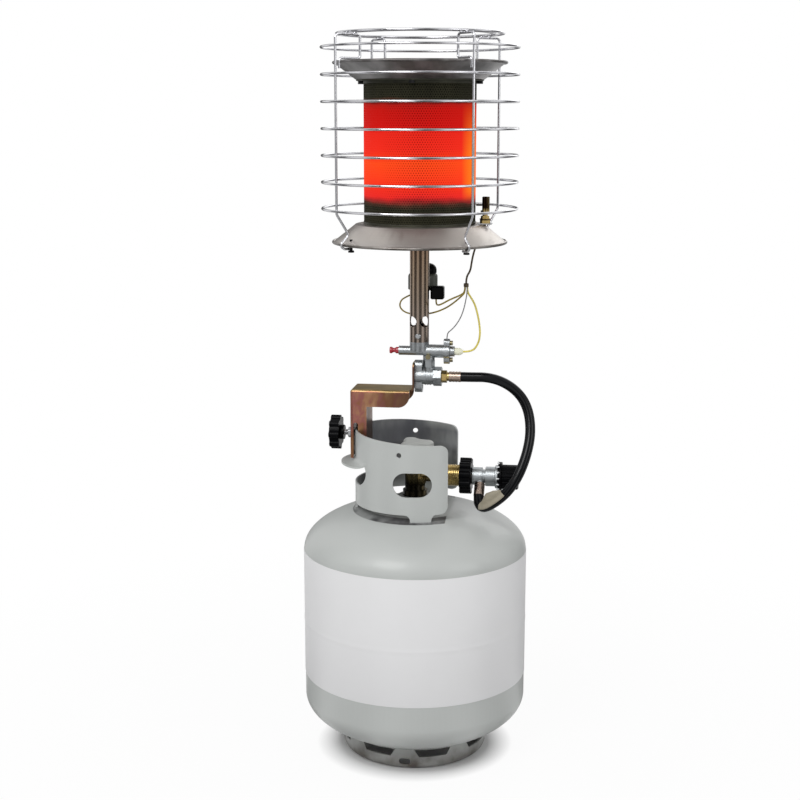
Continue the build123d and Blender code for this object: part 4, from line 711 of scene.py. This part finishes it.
# %% Write down the routes
CORDS = {
    "gas_hose": ("hose_rubber", 6.8, 0.290, [
        (91, -22.627, 370.873), (91, -31.82, 361.68), (100, -41, 359), (114, -46, 368),
        (129, -47.5, 381), (141, -45.5, 397), (150, -40, 415), (157, -31, 437),
        (160.5, -21.5, 460), (158, -12, 484), (150, -6, 503), (137, -2, 517),
        (119, 0, 527.5), (99, 0, 532.5), (80, 0, 532), (62.9, 0, 532),
    ]),
    "thermocouple_lead": ("lead_brown", 1.3, 0.083, [
        (93.5, 0, 740), (93.5, 0, 733), (90, -1, 725), (84.8, -2, 717.5), (81, -3, 708.5),
        (78.2, -4, 698.5), (76.4, -4.6, 688), (75, -5, 678), (69.5, -5, 669.5), (69.5, -5, 661),
    ]),
    "yellow_lead": ("lead_yellow", 1.3, 0.105, [
        (71, -3.5, 656), (71, -3.5, 649), (75.5, -3.5, 642.5), (81, -3.5, 633.5), (84.8, -3.4, 621),
        (87.6, -3, 607), (88.9, -2.4, 593), (86.8, -1.2, 579.5), (78.5, 0, 567), (65.5, 0, 567),
    ]),
    "switch_lead_upper": ("lead_olive", 1.1, 0.067, [
        (68, -6.5, 656), (68, -6.5, 649), (62, -8, 645), (53.5, -9.5, 641.5), (45, -9.5, 637.5),
        (37, -6, 632.5), (30.5, 2, 629.5), (27, 10, 630.5), (27, 10, 636.5),
    ]),
    "switch_lead_lower": ("lead_olive", 1.1, 0.155, [
        (68, -3.5, 656), (68, -3.5, 648.5), (62.5, -2, 642.5), (54, 1, 635), (45, 4, 628),
        (34, 8, 622), (21, 14, 617), (7, 20, 614.5), (-8, 25, 613.5), (-20, 29, 616),
        (-27, 32, 623), (-25, 35, 632), (-16, 36.5, 637), (-8, 37, 640.5), (-8, 37, 647.5),
    ]),
    "fine_lead": ("lead_silver", 0.8, 0.079, [
        (71, -6.5, 656), (71, -6.5, 648), (69.2, -6.5, 637.5), (66.8, -6.2, 626.5),
        (63, -5.6, 615.5), (57.2, -4.4, 605.5), (50.4, -2.6, 597.5), (43.4, 0, 592),
        (43.4, 0, 584.25),
    ]),
}


# %% Define how a line is drawn and measured
def evaluated_mesh(thing):
    """Plain mesh of an object with its modifiers or its bevel applied."""
    bpy.context.view_layer.update()
    return bpy.data.meshes.new_from_object(thing.evaluated_get(bpy.context.evaluated_depsgraph_get()))


def soft_line(name, radius, points):
    """Curve of one open NURBS spline, in millimetres."""
    data = bpy.data.curves.new(name, "CURVE")
    data.dimensions = "3D"
    data.bevel_depth = 1.0  # times each point's own radius
    data.bevel_resolution = 5
    data.resolution_u = 10
    data.use_fill_caps = True
    spline = data.splines.new("NURBS")
    spline.points.add(len(points) - 1)
    for control, point in zip(spline.points, points):
        control.co = (*(value * MM for value in point), 1.0)
        control.radius = radius * MM
    spline.order_u = 3
    spline.use_endpoint_u = True
    return new_object(name, data)


def line_points(line):
    """The spline's own points, read with its bevel off."""
    depth, line.data.bevel_depth = line.data.bevel_depth, 0.0
    flat = evaluated_mesh(line)
    line.data.bevel_depth = depth
    points = [vertex.co.copy() for vertex in flat.vertices]
    bpy.data.meshes.remove(flat)
    return points


# %% [markdown]
# A blank paper label is stuck round the hose near its lower end and stands off on the inner
# side of the bend as a flag. Its section is folded at every point of the hose's line that it
# covers, and the sections are joined. Solidify then gives the paper its thickness.

# %% Define the hose's label
TAG_FROM, TAG_TO = 0.021, 0.063  # metres along the hose from its lower end
TAG_INSIDE = Vector((0.098, -0.030, 0.400))  # a place within the hose's lower loop
TAG_REACH = [(0.0, 0.0085), (0.45, 0.0165), (0.75, 0.0140), (1.0, 0.0085)]  # share along, reach
TAG_ROUND = 0.00725  # radius at which the paper is wrapped
TAG_WRAP = [math.radians(35 + 12 * i) for i in range(8)]
TAG_PAPER = 0.25 * MM


def tag_reach(share):
    """How far the label stands off the hose's middle at a share of its length."""
    for (low, short), (high, long) in zip(TAG_REACH, TAG_REACH[1:]):
        if share <= high:
            return short + (long - short) * (share - low) / (high - low)
    return TAG_REACH[-1][1]


def tag_section(share):
    """Folded section of the label: the flag's edge first, then the part round the hose."""
    bow, reach = 1.6 * MM * math.sin(share * math.pi), tag_reach(share)
    flag = [(reach, 1.6 * MM + bow), ((reach + 0.0075) / 2, 2.0 * MM + bow / 2), (0.0072, 2.4 * MM)]
    return flag + [(TAG_ROUND * math.cos(a), TAG_ROUND * math.sin(a)) for a in TAG_WRAP]


def hose_tag(walked):
    """Label on the line of points that the hose follows."""
    rows, run = [], 0.0
    work = bmesh.new()
    for here, after in zip(walked, walked[1:]):
        run += (after - here).length
        if not TAG_FROM <= run <= TAG_TO:
            continue
        along = (after - here).normalized()
        inward = TAG_INSIDE - here
        inward = (inward - along * inward.dot(along)).normalized()
        side = along.cross(inward)
        section = tag_section((run - TAG_FROM) / (TAG_TO - TAG_FROM))
        rows.append([work.verts.new(here + inward * x + side * y) for x, y in section])
    for row, following in zip(rows, rows[1:]):
        for i in range(len(row) - 1):
            work.faces.new((row[i], following[i], following[i + 1], row[i + 1]))
    bmesh.ops.recalc_face_normals(work, faces=work.faces)
    for face in work.faces:
        face.smooth = True
    mesh = bpy.data.meshes.new("hose_tag")
    work.to_mesh(mesh)
    work.free()
    mesh.materials.append(materials["tag_paper"])
    tag = new_object("hose_tag", mesh)
    paper = tag.modifiers.new("paper", "SOLIDIFY")
    paper.thickness = TAG_PAPER
    paper.offset = 0.0
    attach(tag, "stand")
    return tag


# %% Lay the hose and the leads
for name, (slot, radius, length, points) in CORDS.items():
    line = soft_line("shown_" + name, radius, points)
    line.data.materials.append(materials[slot])
    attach(line, "stand")
    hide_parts(name)
    walked = line_points(line)
    measured = sum((b - a).length for a, b in zip(walked, walked[1:]))
    print(f"{name}: {measured * 1000:.0f} mm, {len(points)} points")
    [hose_tag(walked)] if name == "gas_hose" else []

# %% [markdown]
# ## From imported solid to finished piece
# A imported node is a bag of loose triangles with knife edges. A copy is merged, its flat
# faces are joined again, and a small bevel rounds its edges, because no pressed, cast or
# moulded edge is perfectly sharp and the thin highlight along it is what the eye reads.

# %% Define how a piece is shown
slot_of = {row["node"]: row["material_slot"] for row in frame["record"]["subparts"]}
SHARP_LIMIT = math.radians(35)  # the bevel rounds edges sharper than this
SMOOTH_LIMIT = math.radians(30)
FLAT_LIMIT = math.radians(0.3)
MERGE_WITHIN = 2e-6


def show(name, mesh, body, slot, replaced=()):
    """Links a mesh as a piece that rides on a body."""
    piece = new_object(name, mesh)
    mesh.materials.clear()
    mesh.materials.append(materials[slot])
    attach(piece, body)
    if replaced:
        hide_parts(*replaced)
    return piece


def round_edges(piece, width):
    """Bevel modifier on the sharp edges, its width in millimetres."""
    bevel = piece.modifiers.new("soft_edges", "BEVEL")
    bevel.width = width * MM
    bevel.segments = 2
    bevel.limit_method = "ANGLE"
    bevel.angle_limit = SHARP_LIMIT
    bevel.harden_normals = True
    bevel.use_clamp_overlap = True


def smooth_sharp(work):
    """Smooth shading with hard edges kept."""
    for face in work.faces:
        face.smooth = True
    for edge in work.edges:
        edge.smooth = len(edge.link_faces) == 2 and edge.calc_face_angle(0.0) < SMOOTH_LIMIT


def merged_copy(node):
    """The node's mesh, merged and with its flat faces joined."""
    mesh = frame["nodes"][node].data.copy()
    mesh.name = "shown_" + node
    for extra in ("custom_normal", "sharp_face", "sharp_edge"):
        if extra in mesh.attributes:
            mesh.attributes.remove(mesh.attributes[extra])
    work = bmesh.new()
    work.from_mesh(mesh)
    bmesh.ops.remove_doubles(work, verts=work.verts, dist=MERGE_WITHIN)
    bmesh.ops.dissolve_limit(work, angle_limit=FLAT_LIMIT, verts=work.verts, edges=work.edges)
    smooth_sharp(work)
    work.to_mesh(mesh)
    work.free()
    return mesh


def softened(node, width):
    """A node's finished stand-in."""
    body = frame["nodes"][node]["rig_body"]
    piece = show("shown_" + node, merged_copy(node), body, slot_of[node], [node])
    if width:
        round_edges(piece, width)
    return piece


# %% Show the pieces whose solids already have their form
SOFT_EDGES = {  # width of the rounding in millimetres
    "tank_bottom_shell": 0.0, "tank_top_shell": 0.0, "foot_ring": 0.5, "collar": 0.6,
    "valve_bung": 0.8, "tank_valve_body": 0.5, "bleed_screw": 0.15, "relief_valve": 0.4,
    "valve_spindle": 0.4, "tank_handwheel": 1.2, "dip_tube": 0.2, "level_float": 0.3,
    "coupling_nut": 0.9, "regulator_nipple": 0.3, "regulator_body": 0.6, "regulator_cap": 0.6,
    "control_knob": 0.5, "hose_ferrule_lower": 0.25, "hose_ferrule_upper": 0.25,
    "hose_fitting": 0.35, "bracket": 0.8, "clamp_nut": 0.4, "clamp_knob": 0.9, "manifold": 0.5,
    "manifold_screws": 0.2, "riser_nipple": 0.4, "safety_valve_body": 0.6, "valve_cover": 0.5,
    "valve_screws": 0.2, "lead_connector": 0.3, "safety_button": 0.3, "button_spring": 0.0,
    "injector": 0.2, "mixing_tube": 0.25, "tube_screw": 0.2, "switch_can": 0.4,
    "switch_cap": 0.4, "switch_clip": 0.3, "switch_block": 0.2, "lower_dish": 0.2,
    "upper_dish": 0.2, "inner_screen": 0.0, "emitter_cap": 0.2, "dish_screws": 0.2,
    "guard_rods": 0.0, "guard_screws": 0.3, "sensor_shelf": 0.3, "sensor_body": 0.2,
    "lead_sleeve": 0.6,
}
shown = {node: softened(node, width) for node, width in SOFT_EDGES.items()}
shown["inner_screen"].data.materials[0] = materials["screen_core"]
shown["valve_screws"].data.materials[0] = materials["dull_brass"]
print("softened:", len(shown))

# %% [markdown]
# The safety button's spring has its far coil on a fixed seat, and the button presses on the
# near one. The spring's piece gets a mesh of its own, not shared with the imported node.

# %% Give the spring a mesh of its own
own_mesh(shown["button_spring"])

# %% [markdown]
# ## Turned pieces
# The sleeve round the barrel shows the girth seam below it as a faint raised line. A solid
# tube can't say that, so its section is drawn point by point and turned round the axis.


# %% Turn the sleeve
def turned(name, section, steps, centre_x=0.0):
    """Mesh of a closed (radius, height) section turned about Z, in millimetres."""
    mesh = bpy.data.meshes.new(name)
    work = bmesh.new()
    rows = []
    for step in range(steps):
        angle = 2 * math.pi * step / steps
        x, y = math.cos(angle), math.sin(angle)
        rows.append([work.verts.new(((centre_x + r * x) * MM, r * y * MM, z * MM)) for r, z in section])
    count = len(section)
    for step in range(steps):
        here, after = rows[step], rows[(step + 1) % steps]
        for i in range(count):
            j = (i + 1) % count
            work.faces.new((here[i], after[i], after[j], here[j]))
    bmesh.ops.remove_doubles(work, verts=work.verts, dist=1e-6)
    bmesh.ops.recalc_face_normals(work, faces=work.faces)
    smooth_sharp(work)
    work.to_mesh(mesh)
    work.free()
    return mesh


SLEEVE_IN, SLEEVE_R, SLEEVE_EDGE_R = 155.05, 155.55, 155.4
SLEEVE_LOW, SLEEVE_HIGH, SLEEVE_EDGE, SEAM_Z = 112.5, 289.5, 0.4, 190.0
RIDGE = [(-7, 0.0), (-4, 0.08), (-1.6, 0.32), (0, 0.4), (1.6, 0.32), (4, 0.08), (7, 0.0)]
sleeve_section = [
    (SLEEVE_IN, SLEEVE_LOW),
    (SLEEVE_EDGE_R, SLEEVE_LOW),
    (SLEEVE_R, SLEEVE_LOW + SLEEVE_EDGE),
    *((SLEEVE_R + rise, SEAM_Z + offset) for offset, rise in RIDGE),
    (SLEEVE_R, SLEEVE_HIGH - SLEEVE_EDGE),
    (SLEEVE_EDGE_R, SLEEVE_HIGH),
    (SLEEVE_IN, SLEEVE_HIGH),
]
sleeve = turned("shown_label_sleeve", sleeve_section, 192)
show("shown_label_sleeve", sleeve, "stand", "sleeve", ["label_sleeve"])
print("points in the sleeve's section:", len(sleeve_section))

# %% [markdown]
# ## Trees of geometry
# What repeats is grown by Geometry Nodes. Every tree has named inputs for its sizes, ends
# by realizing its instances and setting the finish, and its result is kept as a plain mesh.


# %% Define how a tree is built and grown
def geometry_tree(name, inputs):
    """New geometry tree with named inputs. Returns the tree and its inputs' values."""
    tree = bpy.data.node_groups.new(name, "GeometryNodeTree")
    add_sockets(tree, "INPUT", {**inputs, "Finish": "Material"})
    add_sockets(tree, "OUTPUT", {"Geometry": "Geometry"})
    return tree, tree.nodes.new("NodeGroupInput").outputs


def close_tree(tree, given, geometry):
    """Realize, shade and set the finish, then leave the tree."""
    real = add_node(tree, "GeometryNodeRealizeInstances", {"Geometry": geometry}).outputs[0]
    shaded = add_node(tree, "GeometryNodeSetShadeSmooth", {"Geometry": real}).outputs[0]
    painted = add_node(tree, "GeometryNodeSetMaterial", {"Geometry": shaded, "Material": given["Finish"]})
    tree.links.new(painted.outputs[0], tree.nodes.new("NodeGroupOutput").inputs[0])


def turned_and_placed(tree, given, geometry):
    """Geometry turned and moved by the tree's own Turn and Place."""
    turn = add_node(tree, "FunctionNodeEulerToRotation", {0: given["Turn"]}).outputs[0]
    moves = {"Geometry": geometry, "Translation": given["Place"], "Rotation": turn}
    return add_node(tree, "GeometryNodeTransform", moves).outputs[0]


def circle(tree, resolution, radius):
    """Round curve."""
    inputs = {"Resolution": resolution, "Radius": radius}
    return add_node(tree, "GeometryNodeCurvePrimitiveCircle", inputs).outputs[0]


def position(tree):
    """X, Y and Z of where each point is."""
    return split(tree, add_node(tree, "GeometryNodeInputPosition").outputs[0])


def grown(name, tree_name, slot, values):
    """Plain mesh that a tree makes with these input values."""
    carrier = new_object(name + "_carrier", bpy.data.meshes.new(name + "_carrier"))
    modifier = carrier.modifiers.new("tree", "NODES")
    modifier.node_group = bpy.data.node_groups[tree_name]
    values = {**values, "Finish": materials[slot]}
    for item in modifier.node_group.interface.items_tree:
        if item.in_out == "INPUT" and item.name in values:
            modifier[item.identifier] = values[item.name]
    mesh = evaluated_mesh(carrier)
    mesh.name = name
    bpy.data.objects.remove(carrier)
    print(f"{name}: {len(mesh.polygons)} faces")
    return mesh


# %% Tree of hoops: round wire rings, one above the other
hoop_sizes = {"Radius": 0.13, "Wire": 0.0016, "Foot": 0.76, "Pitch": 0.035, "Count": 7}
tree, given = geometry_tree("wire_hoops", {**hoop_sizes, "Centre X": HEAD_X})
places = {
    "Count": given["Count"],
    "Start Location": joined(tree, given["Centre X"], z=given["Foot"]),
    "Offset": joined(tree, z=given["Pitch"]),
}
levels = add_node(tree, "GeometryNodeMeshLine", places).outputs[0]
wires = {"Curve": circle(tree, 160, given["Radius"]), "Profile Curve": circle(tree, 12, given["Wire"])}
hoop = add_node(tree, "GeometryNodeCurveToMesh", wires).outputs[0]
stack = add_node(tree, "GeometryNodeInstanceOnPoints", {"Points": levels, "Instance": hoop}).outputs[0]
close_tree(tree, given, stack)

# %% [markdown]
# Weld nuggets, weld beads and the dial's marks are all one small piece set round an axis.
# This tree places the points on a circle, repeats them on several levels, turns each copy
# outwards and varies its size a little, as no two welds are alike.

# %% Tree of copies: one small piece set round an axis, on several levels
circle_sizes = {"Count": 4, "Radius": 0.1, "First": 0.0, "Step": math.pi / 2}
level_sizes = {"Foot": 0.0, "Pitch": 0.035, "Levels": 1, "Unlike": 0.0, "Seed": 3}
whole_moves = {"Turn": (0.0, 0.0, 0.0), "Place": (0.0, 0.0, 0.0)}
tree, given = geometry_tree(
    "copies_round_an_axis", {"Piece": "Object", **circle_sizes, **level_sizes, **whole_moves}
)
row = add_node(tree, "GeometryNodeMeshLine", {"Count": given["Count"]}).outputs[0]
index = add_node(tree, "GeometryNodeInputIndex").outputs[0]
angle = maths(tree, "MULTIPLY_ADD", index, given["Step"], given["First"])
x, y = (maths(tree, "MULTIPLY", maths(tree, wave, angle), given["Radius"]) for wave in ("COSINE", "SINE"))
on_circle = {"Geometry": row, "Position": joined(tree, x, y, given["Foot"])}
ring = add_node(tree, "GeometryNodeSetPosition", on_circle).outputs[0]
repeats = {"Geometry": ring, "Amount": given["Levels"]}
many = add_node(tree, "GeometryNodeDuplicateElements", repeats, domain="POINT").outputs
lift = joined(tree, z=maths(tree, "MULTIPLY", many[1], given["Pitch"]))
lifted = add_node(tree, "GeometryNodeSetPosition", {"Geometry": many[0], "Offset": lift}).outputs[0]
outward = joined(tree, z=bearing_of(tree, position(tree)))
chance = add_node(tree, "FunctionNodeRandomValue", {"Seed": given["Seed"]}, data_type="FLOAT").outputs[1]
swing = maths(tree, "MULTIPLY", maths(tree, "SUBTRACT", chance, 0.5), given["Unlike"])
size = maths(tree, "ADD", swing, 1.0)
source = add_node(tree, "GeometryNodeObjectInfo", {"Object": given["Piece"]}, transform_space="ORIGINAL")
set_out = {
    "Points": lifted,
    "Instance": source.outputs["Geometry"],
    "Rotation": add_node(tree, "FunctionNodeEulerToRotation", {0: outward}).outputs[0],
    "Scale": joined(tree, size, size, size),
}
copies = add_node(tree, "GeometryNodeInstanceOnPoints", set_out).outputs[0]
loose = add_node(tree, "GeometryNodeRealizeInstances", {"Geometry": copies}).outputs[0]
close_tree(tree, given, turned_and_placed(tree, given, loose))

# %% [markdown]
# A real thread is a groove cut in a helix. Seen from outside, a thin ridge that winds round
# a plain core reads the same, and a spiral curve with a small six-sided section makes it.

# %% Tree of a thread: a ridge that winds along an axis
tree, given = geometry_tree(
    "thread_ridge", {"Radius": 0.004, "Ridge": 0.0005, "Long": 0.02, "Turns": 12.0, **whole_moves}
)
spiral = {
    "Resolution": 40,
    "Rotations": given["Turns"],
    "Start Radius": given["Radius"],
    "End Radius": given["Radius"],
    "Height": given["Long"],
}
winding = add_node(tree, "GeometryNodeCurveSpiral", spiral).outputs[0]
level_curve = add_node(tree, "GeometryNodeSetCurveNormal", {"Curve": winding}, mode="Z_UP").outputs[0]
wires = {"Curve": level_curve, "Profile Curve": circle(tree, 6, given["Ridge"]), "Fill Caps": True}
ridge_mesh = add_node(tree, "GeometryNodeCurveToMesh", wires).outputs[0]
close_tree(tree, given, turned_and_placed(tree, given, ridge_mesh))

# %% [markdown]
# The screen of the burner is sheet with thousands of holes in staggered rows. A grid is
# sheared, wrapped round the drum and triangulated, and its dual mesh is then a honeycomb.
# Each cell is inset and its middle deleted, which leaves the web between the holes.

# %% Tree of the perforated drum
drum_sizes = {"Radius": 0.075, "Foot": SCREEN_FOOT, "Tall": 0.1875, "Columns": 104, "Rows": 48}
drum_cuts = {"Hole Share": 0.6, "Keep From": 0.0, "Keep To": 2.0, "Centre X": HEAD_X}
tree, given = geometry_tree("perforated_drum", drum_sizes | drum_cuts)
columns_up = maths(tree, "ADD", given["Columns"], 1.0)
unit = {"Size X": 1.0, "Size Y": 1.0, "Vertices X": columns_up, "Vertices Y": given["Rows"]}
grid = add_node(tree, "GeometryNodeMeshGrid", unit).outputs[0]
flat = position(tree)
share_up = maths(tree, "ADD", flat[1], 0.5)
row_number = maths(tree, "MULTIPLY", share_up, maths(tree, "SUBTRACT", given["Rows"], 1.0))
shear = maths(tree, "DIVIDE", maths(tree, "MULTIPLY", row_number, 0.5), given["Columns"])
angle = maths(tree, "MULTIPLY", maths(tree, "ADD", flat[0], shear), 2 * math.pi)
x = maths(tree, "MULTIPLY_ADD", maths(tree, "COSINE", angle), given["Radius"], given["Centre X"])
y = maths(tree, "MULTIPLY", maths(tree, "SINE", angle), given["Radius"])
wrapped = joined(tree, x, y, maths(tree, "MULTIPLY_ADD", share_up, given["Tall"], given["Foot"]))
drum = add_node(tree, "GeometryNodeSetPosition", {"Geometry": grid, "Position": wrapped}).outputs[0]
closed = add_node(tree, "GeometryNodeMergeByDistance", {"Geometry": drum, "Distance": 1e-5}).outputs[0]
halved = add_node(tree, "GeometryNodeTriangulate", {"Mesh": closed}, quad_method="SHORTEST_DIAGONAL")
honeycomb = add_node(tree, "GeometryNodeDualMesh", {"Mesh": halved.outputs[0]}).outputs[0]
in_place = {"Mesh": honeycomb, "Offset Scale": 0.0, "Individual": True}
inset = add_node(tree, "GeometryNodeExtrudeMesh", in_place, mode="FACES").outputs
cells = {"Geometry": inset["Mesh"], "Selection": inset["Top"], "Scale": given["Hole Share"]}
shrunk = add_node(tree, "GeometryNodeScaleElements", cells, domain="FACE").outputs[0]
holes = {"Geometry": shrunk, "Selection": inset["Top"]}
web = add_node(tree, "GeometryNodeDeleteGeometry", holes, domain="FACE").outputs[0]
level = position(tree)[2]
below = maths(tree, "LESS_THAN", level, given["Keep From"])
outside = maths(tree, "MAXIMUM", below, maths(tree, "GREATER_THAN", level, given["Keep To"]))
rest = {"Geometry": web, "Selection": outside}
kept = add_node(tree, "GeometryNodeDeleteGeometry", rest, domain="FACE").outputs[0]
close_tree(tree, given, kept)

# %% [markdown]
# The whole screen would be past the size at which a piece is kept as it is, so it is grown
# as a lower and an upper half of the same drum. Plain bands close its edges.

# %% Grow the burner's screen
SCREEN_MIDDLE, ABOVE_ALL = 0.8335, 2.0
SCREEN_SIZES = {"Radius": 0.0748, "Foot": 0.7405, "Tall": 0.187}
SCREEN_HOLES = {"Columns": 140, "Rows": 63, "Hole Share": 0.5}
SHEET_WALL = 0.0016
HALVES = {
    "shown_emitter_screen": (0.0, SCREEN_MIDDLE, ["emitter_screen"]),
    "screen_upper_half": (SCREEN_MIDDLE, ABOVE_ALL, ()),
}
for name, (low, high, replaced) in HALVES.items():
    half = {**SCREEN_SIZES, **SCREEN_HOLES, "Keep From": low, "Keep To": high}
    mesh = grown(name, "perforated_drum", "screen_steel", half)
    sheet = show(name, mesh, "stand", "screen_steel", replaced)
    sheet_wall = sheet.modifiers.new("sheet_wall", "SOLIDIFY")
    sheet_wall.thickness = SHEET_WALL
    sheet_wall.offset = -1.0

BAND_TALL, BAND_IN, BAND_OUT = 3.6, 74.0, 75.3
for name, low in (("screen_lower_band", 740.0), ("screen_upper_band", 927.5 - BAND_TALL)):
    high = low + BAND_TALL
    band = [(BAND_IN, low), (BAND_OUT, low), (BAND_OUT, high), (BAND_IN, high)]
    round_edges(show(name, turned(name, band, 160, HEAD_X / MM), "stand", "cap_steel"), 0.3)

# %% [markdown]
# ## The guard, the welds and the threads
# The hoops are one call of their tree for the seven round the head, and one for each of the
# two on top. Where wire crosses wire, a nugget marks the spot weld, and rows of small beads
# make the seams under the collar's feet and round the foot ring.

# %% Grow the guard's hoops
WIRE = 0.00165
GUARD_LEVELS = {"Foot": 0.7605, "Pitch": 0.03505}
TOP_HOOPS = {"guard_top_hoop": (0.110, ["guard_top_rings"]), "guard_inner_hoop": (0.098, ())}
side_hoops = {"Radius": 0.1305, "Wire": WIRE, "Count": 7, **GUARD_LEVELS}
mesh = grown("shown_guard_rings", "wire_hoops", "guard_chrome", side_hoops)
show("shown_guard_rings", mesh, "stand", "guard_chrome", ["guard_rings"])
for name, (radius, replaced) in TOP_HOOPS.items():
    top_hoop = {"Radius": radius, "Wire": WIRE, "Foot": 0.9883, "Count": 1}
    show(name, grown(name, "wire_hoops", "guard_chrome", top_hoop), "stand", "guard_chrome", replaced)


# %% Make the small pieces that the copies use
def small_piece(name, size, rounding=0.0):
    """Helper object that stays out of the scene: a bead or, with a rounding, a bar, in millimetres."""
    mesh = bpy.data.meshes.new(name)
    work = bmesh.new()
    if rounding:
        bmesh.ops.create_cube(work, size=1.0)
    else:
        bmesh.ops.create_icosphere(work, subdivisions=2, radius=0.5)
    stretch = Matrix.Diagonal((*(value * MM for value in size), 1.0))
    bmesh.ops.transform(work, matrix=stretch, verts=work.verts)
    if rounding:
        bmesh.ops.bevel(work, geom=work.edges[:], offset=rounding * MM, segments=2, affect="EDGES")
    work.to_mesh(mesh)
    work.free()
    return bpy.data.objects.new(name, mesh)


def copies_of(name, size, slot, values):
    """Grows beads of a size round an axis and shows them."""
    values = {"Piece": small_piece(name + "_bead", size), **values}
    show(name, grown(name, "copies_round_an_axis", slot, values), "stand", slot)


# %% Weld the guard and the cylinder
AT_RODS = {"Count": 4, "First": math.radians(39.5), "Step": math.pi / 2, "Place": HEAD_AXIS}
ring_welds = AT_RODS | GUARD_LEVELS | {"Radius": 0.12885, "Levels": 7, "Unlike": 0.25}
copies_of("guard_ring_welds", (4.6, 4.4, 3.4), "guard_chrome", ring_welds)
for name, radius in (("guard_top_welds", 0.110), ("guard_inner_welds", 0.098)):
    top_welds = AT_RODS | {"Radius": radius, "Foot": 0.98665, "Unlike": 0.2}
    copies_of(name, (4.4, 4.4, 3.6), "guard_chrome", top_welds)

COLLAR_FEET = (-77.0, 77.0, 180.0)
WELD_STEP, WELD_BEADS = math.radians(1.25), 17
for index, middle in enumerate(COLLAR_FEET):
    collar_seam = {"Count": WELD_BEADS, "Radius": 0.0834, "Foot": 0.3447, "Unlike": 0.3, "Seed": index + 5}
    collar_seam |= {"First": math.radians(middle) - WELD_BEADS // 2 * WELD_STEP, "Step": WELD_STEP}
    copies_of(f"collar_weld_{index + 1}", (4.2, 3.4, 3.0), "tank_paint", collar_seam)
FOOT_BEADS = 160
foot_seam = {"Count": FOOT_BEADS, "Radius": 0.1012, "Step": 2 * math.pi / FOOT_BEADS, "Foot": 0.0303}
copies_of("foot_weld", (4.4, 4.0, 3.6), "tank_paint", foot_seam | {"Unlike": 0.3})

# %% Cut the threads
OVER = (0.0, math.pi / 2, 0.0)  # from upright to lying along X
CLAMP_Z = 0.450
outlet_thread = {"Radius": 0.01445, "Ridge": 0.0007, "Long": 0.0185, "Turns": 7.5, "Turn": OVER}
outlet_thread |= {"Place": (0.0445, 0.0, GAS_Z)}
show("outlet_thread", grown("outlet_thread", "thread_ridge", "brass", outlet_thread), "stand", "brass")

core_section = [(0.001, 83.1), (3.2, 83.1), (3.55, 83.9), (3.55, 116.0), (0.001, 116.0)]
core = turned("shown_clamp_screw", core_section, 32)
core.transform(Matrix.Translation((0, 0, CLAMP_Z)) @ Matrix.Rotation(-math.pi / 2, 4, "Y"))
show("shown_clamp_screw", core, "clamp_screw", "zinc_steel", ["clamp_screw"])
clamp_thread = {"Radius": 0.00352, "Ridge": 0.00048, "Long": 0.031, "Turns": 25.0, "Turn": OVER}
clamp_thread |= {"Place": (-0.1155, 0.0, CLAMP_Z)}
mesh = grown("clamp_thread", "thread_ridge", "zinc_steel", clamp_thread)
show("clamp_thread", mesh, "clamp_screw", "zinc_steel")

# %% [markdown]
# The control dial carries a white scale round its rim. Each mark is a small bar with
# rounded edges that is half sunk in the plastic, and all of them turn with the dial.

# %% Mark the control dial
MARK_SIZE, MARK_ROUNDING = (0.6, 2.2, 4.0), 0.18
MARK_COUNT = 15
dial_scale = {
    "Piece": small_piece("dial_mark", MARK_SIZE, MARK_ROUNDING),
    "Count": MARK_COUNT,
    "Radius": 0.02055,
    "Step": 2 * math.pi / MARK_COUNT,
    "Foot": 0.11615,
    "Turn": OVER,
    "Place": GAS_LINE,
}
marks = new_object("dial_marks", grown("dial_marks", "copies_round_an_axis", "dial_marks", dial_scale))
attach(marks, "control_knob")
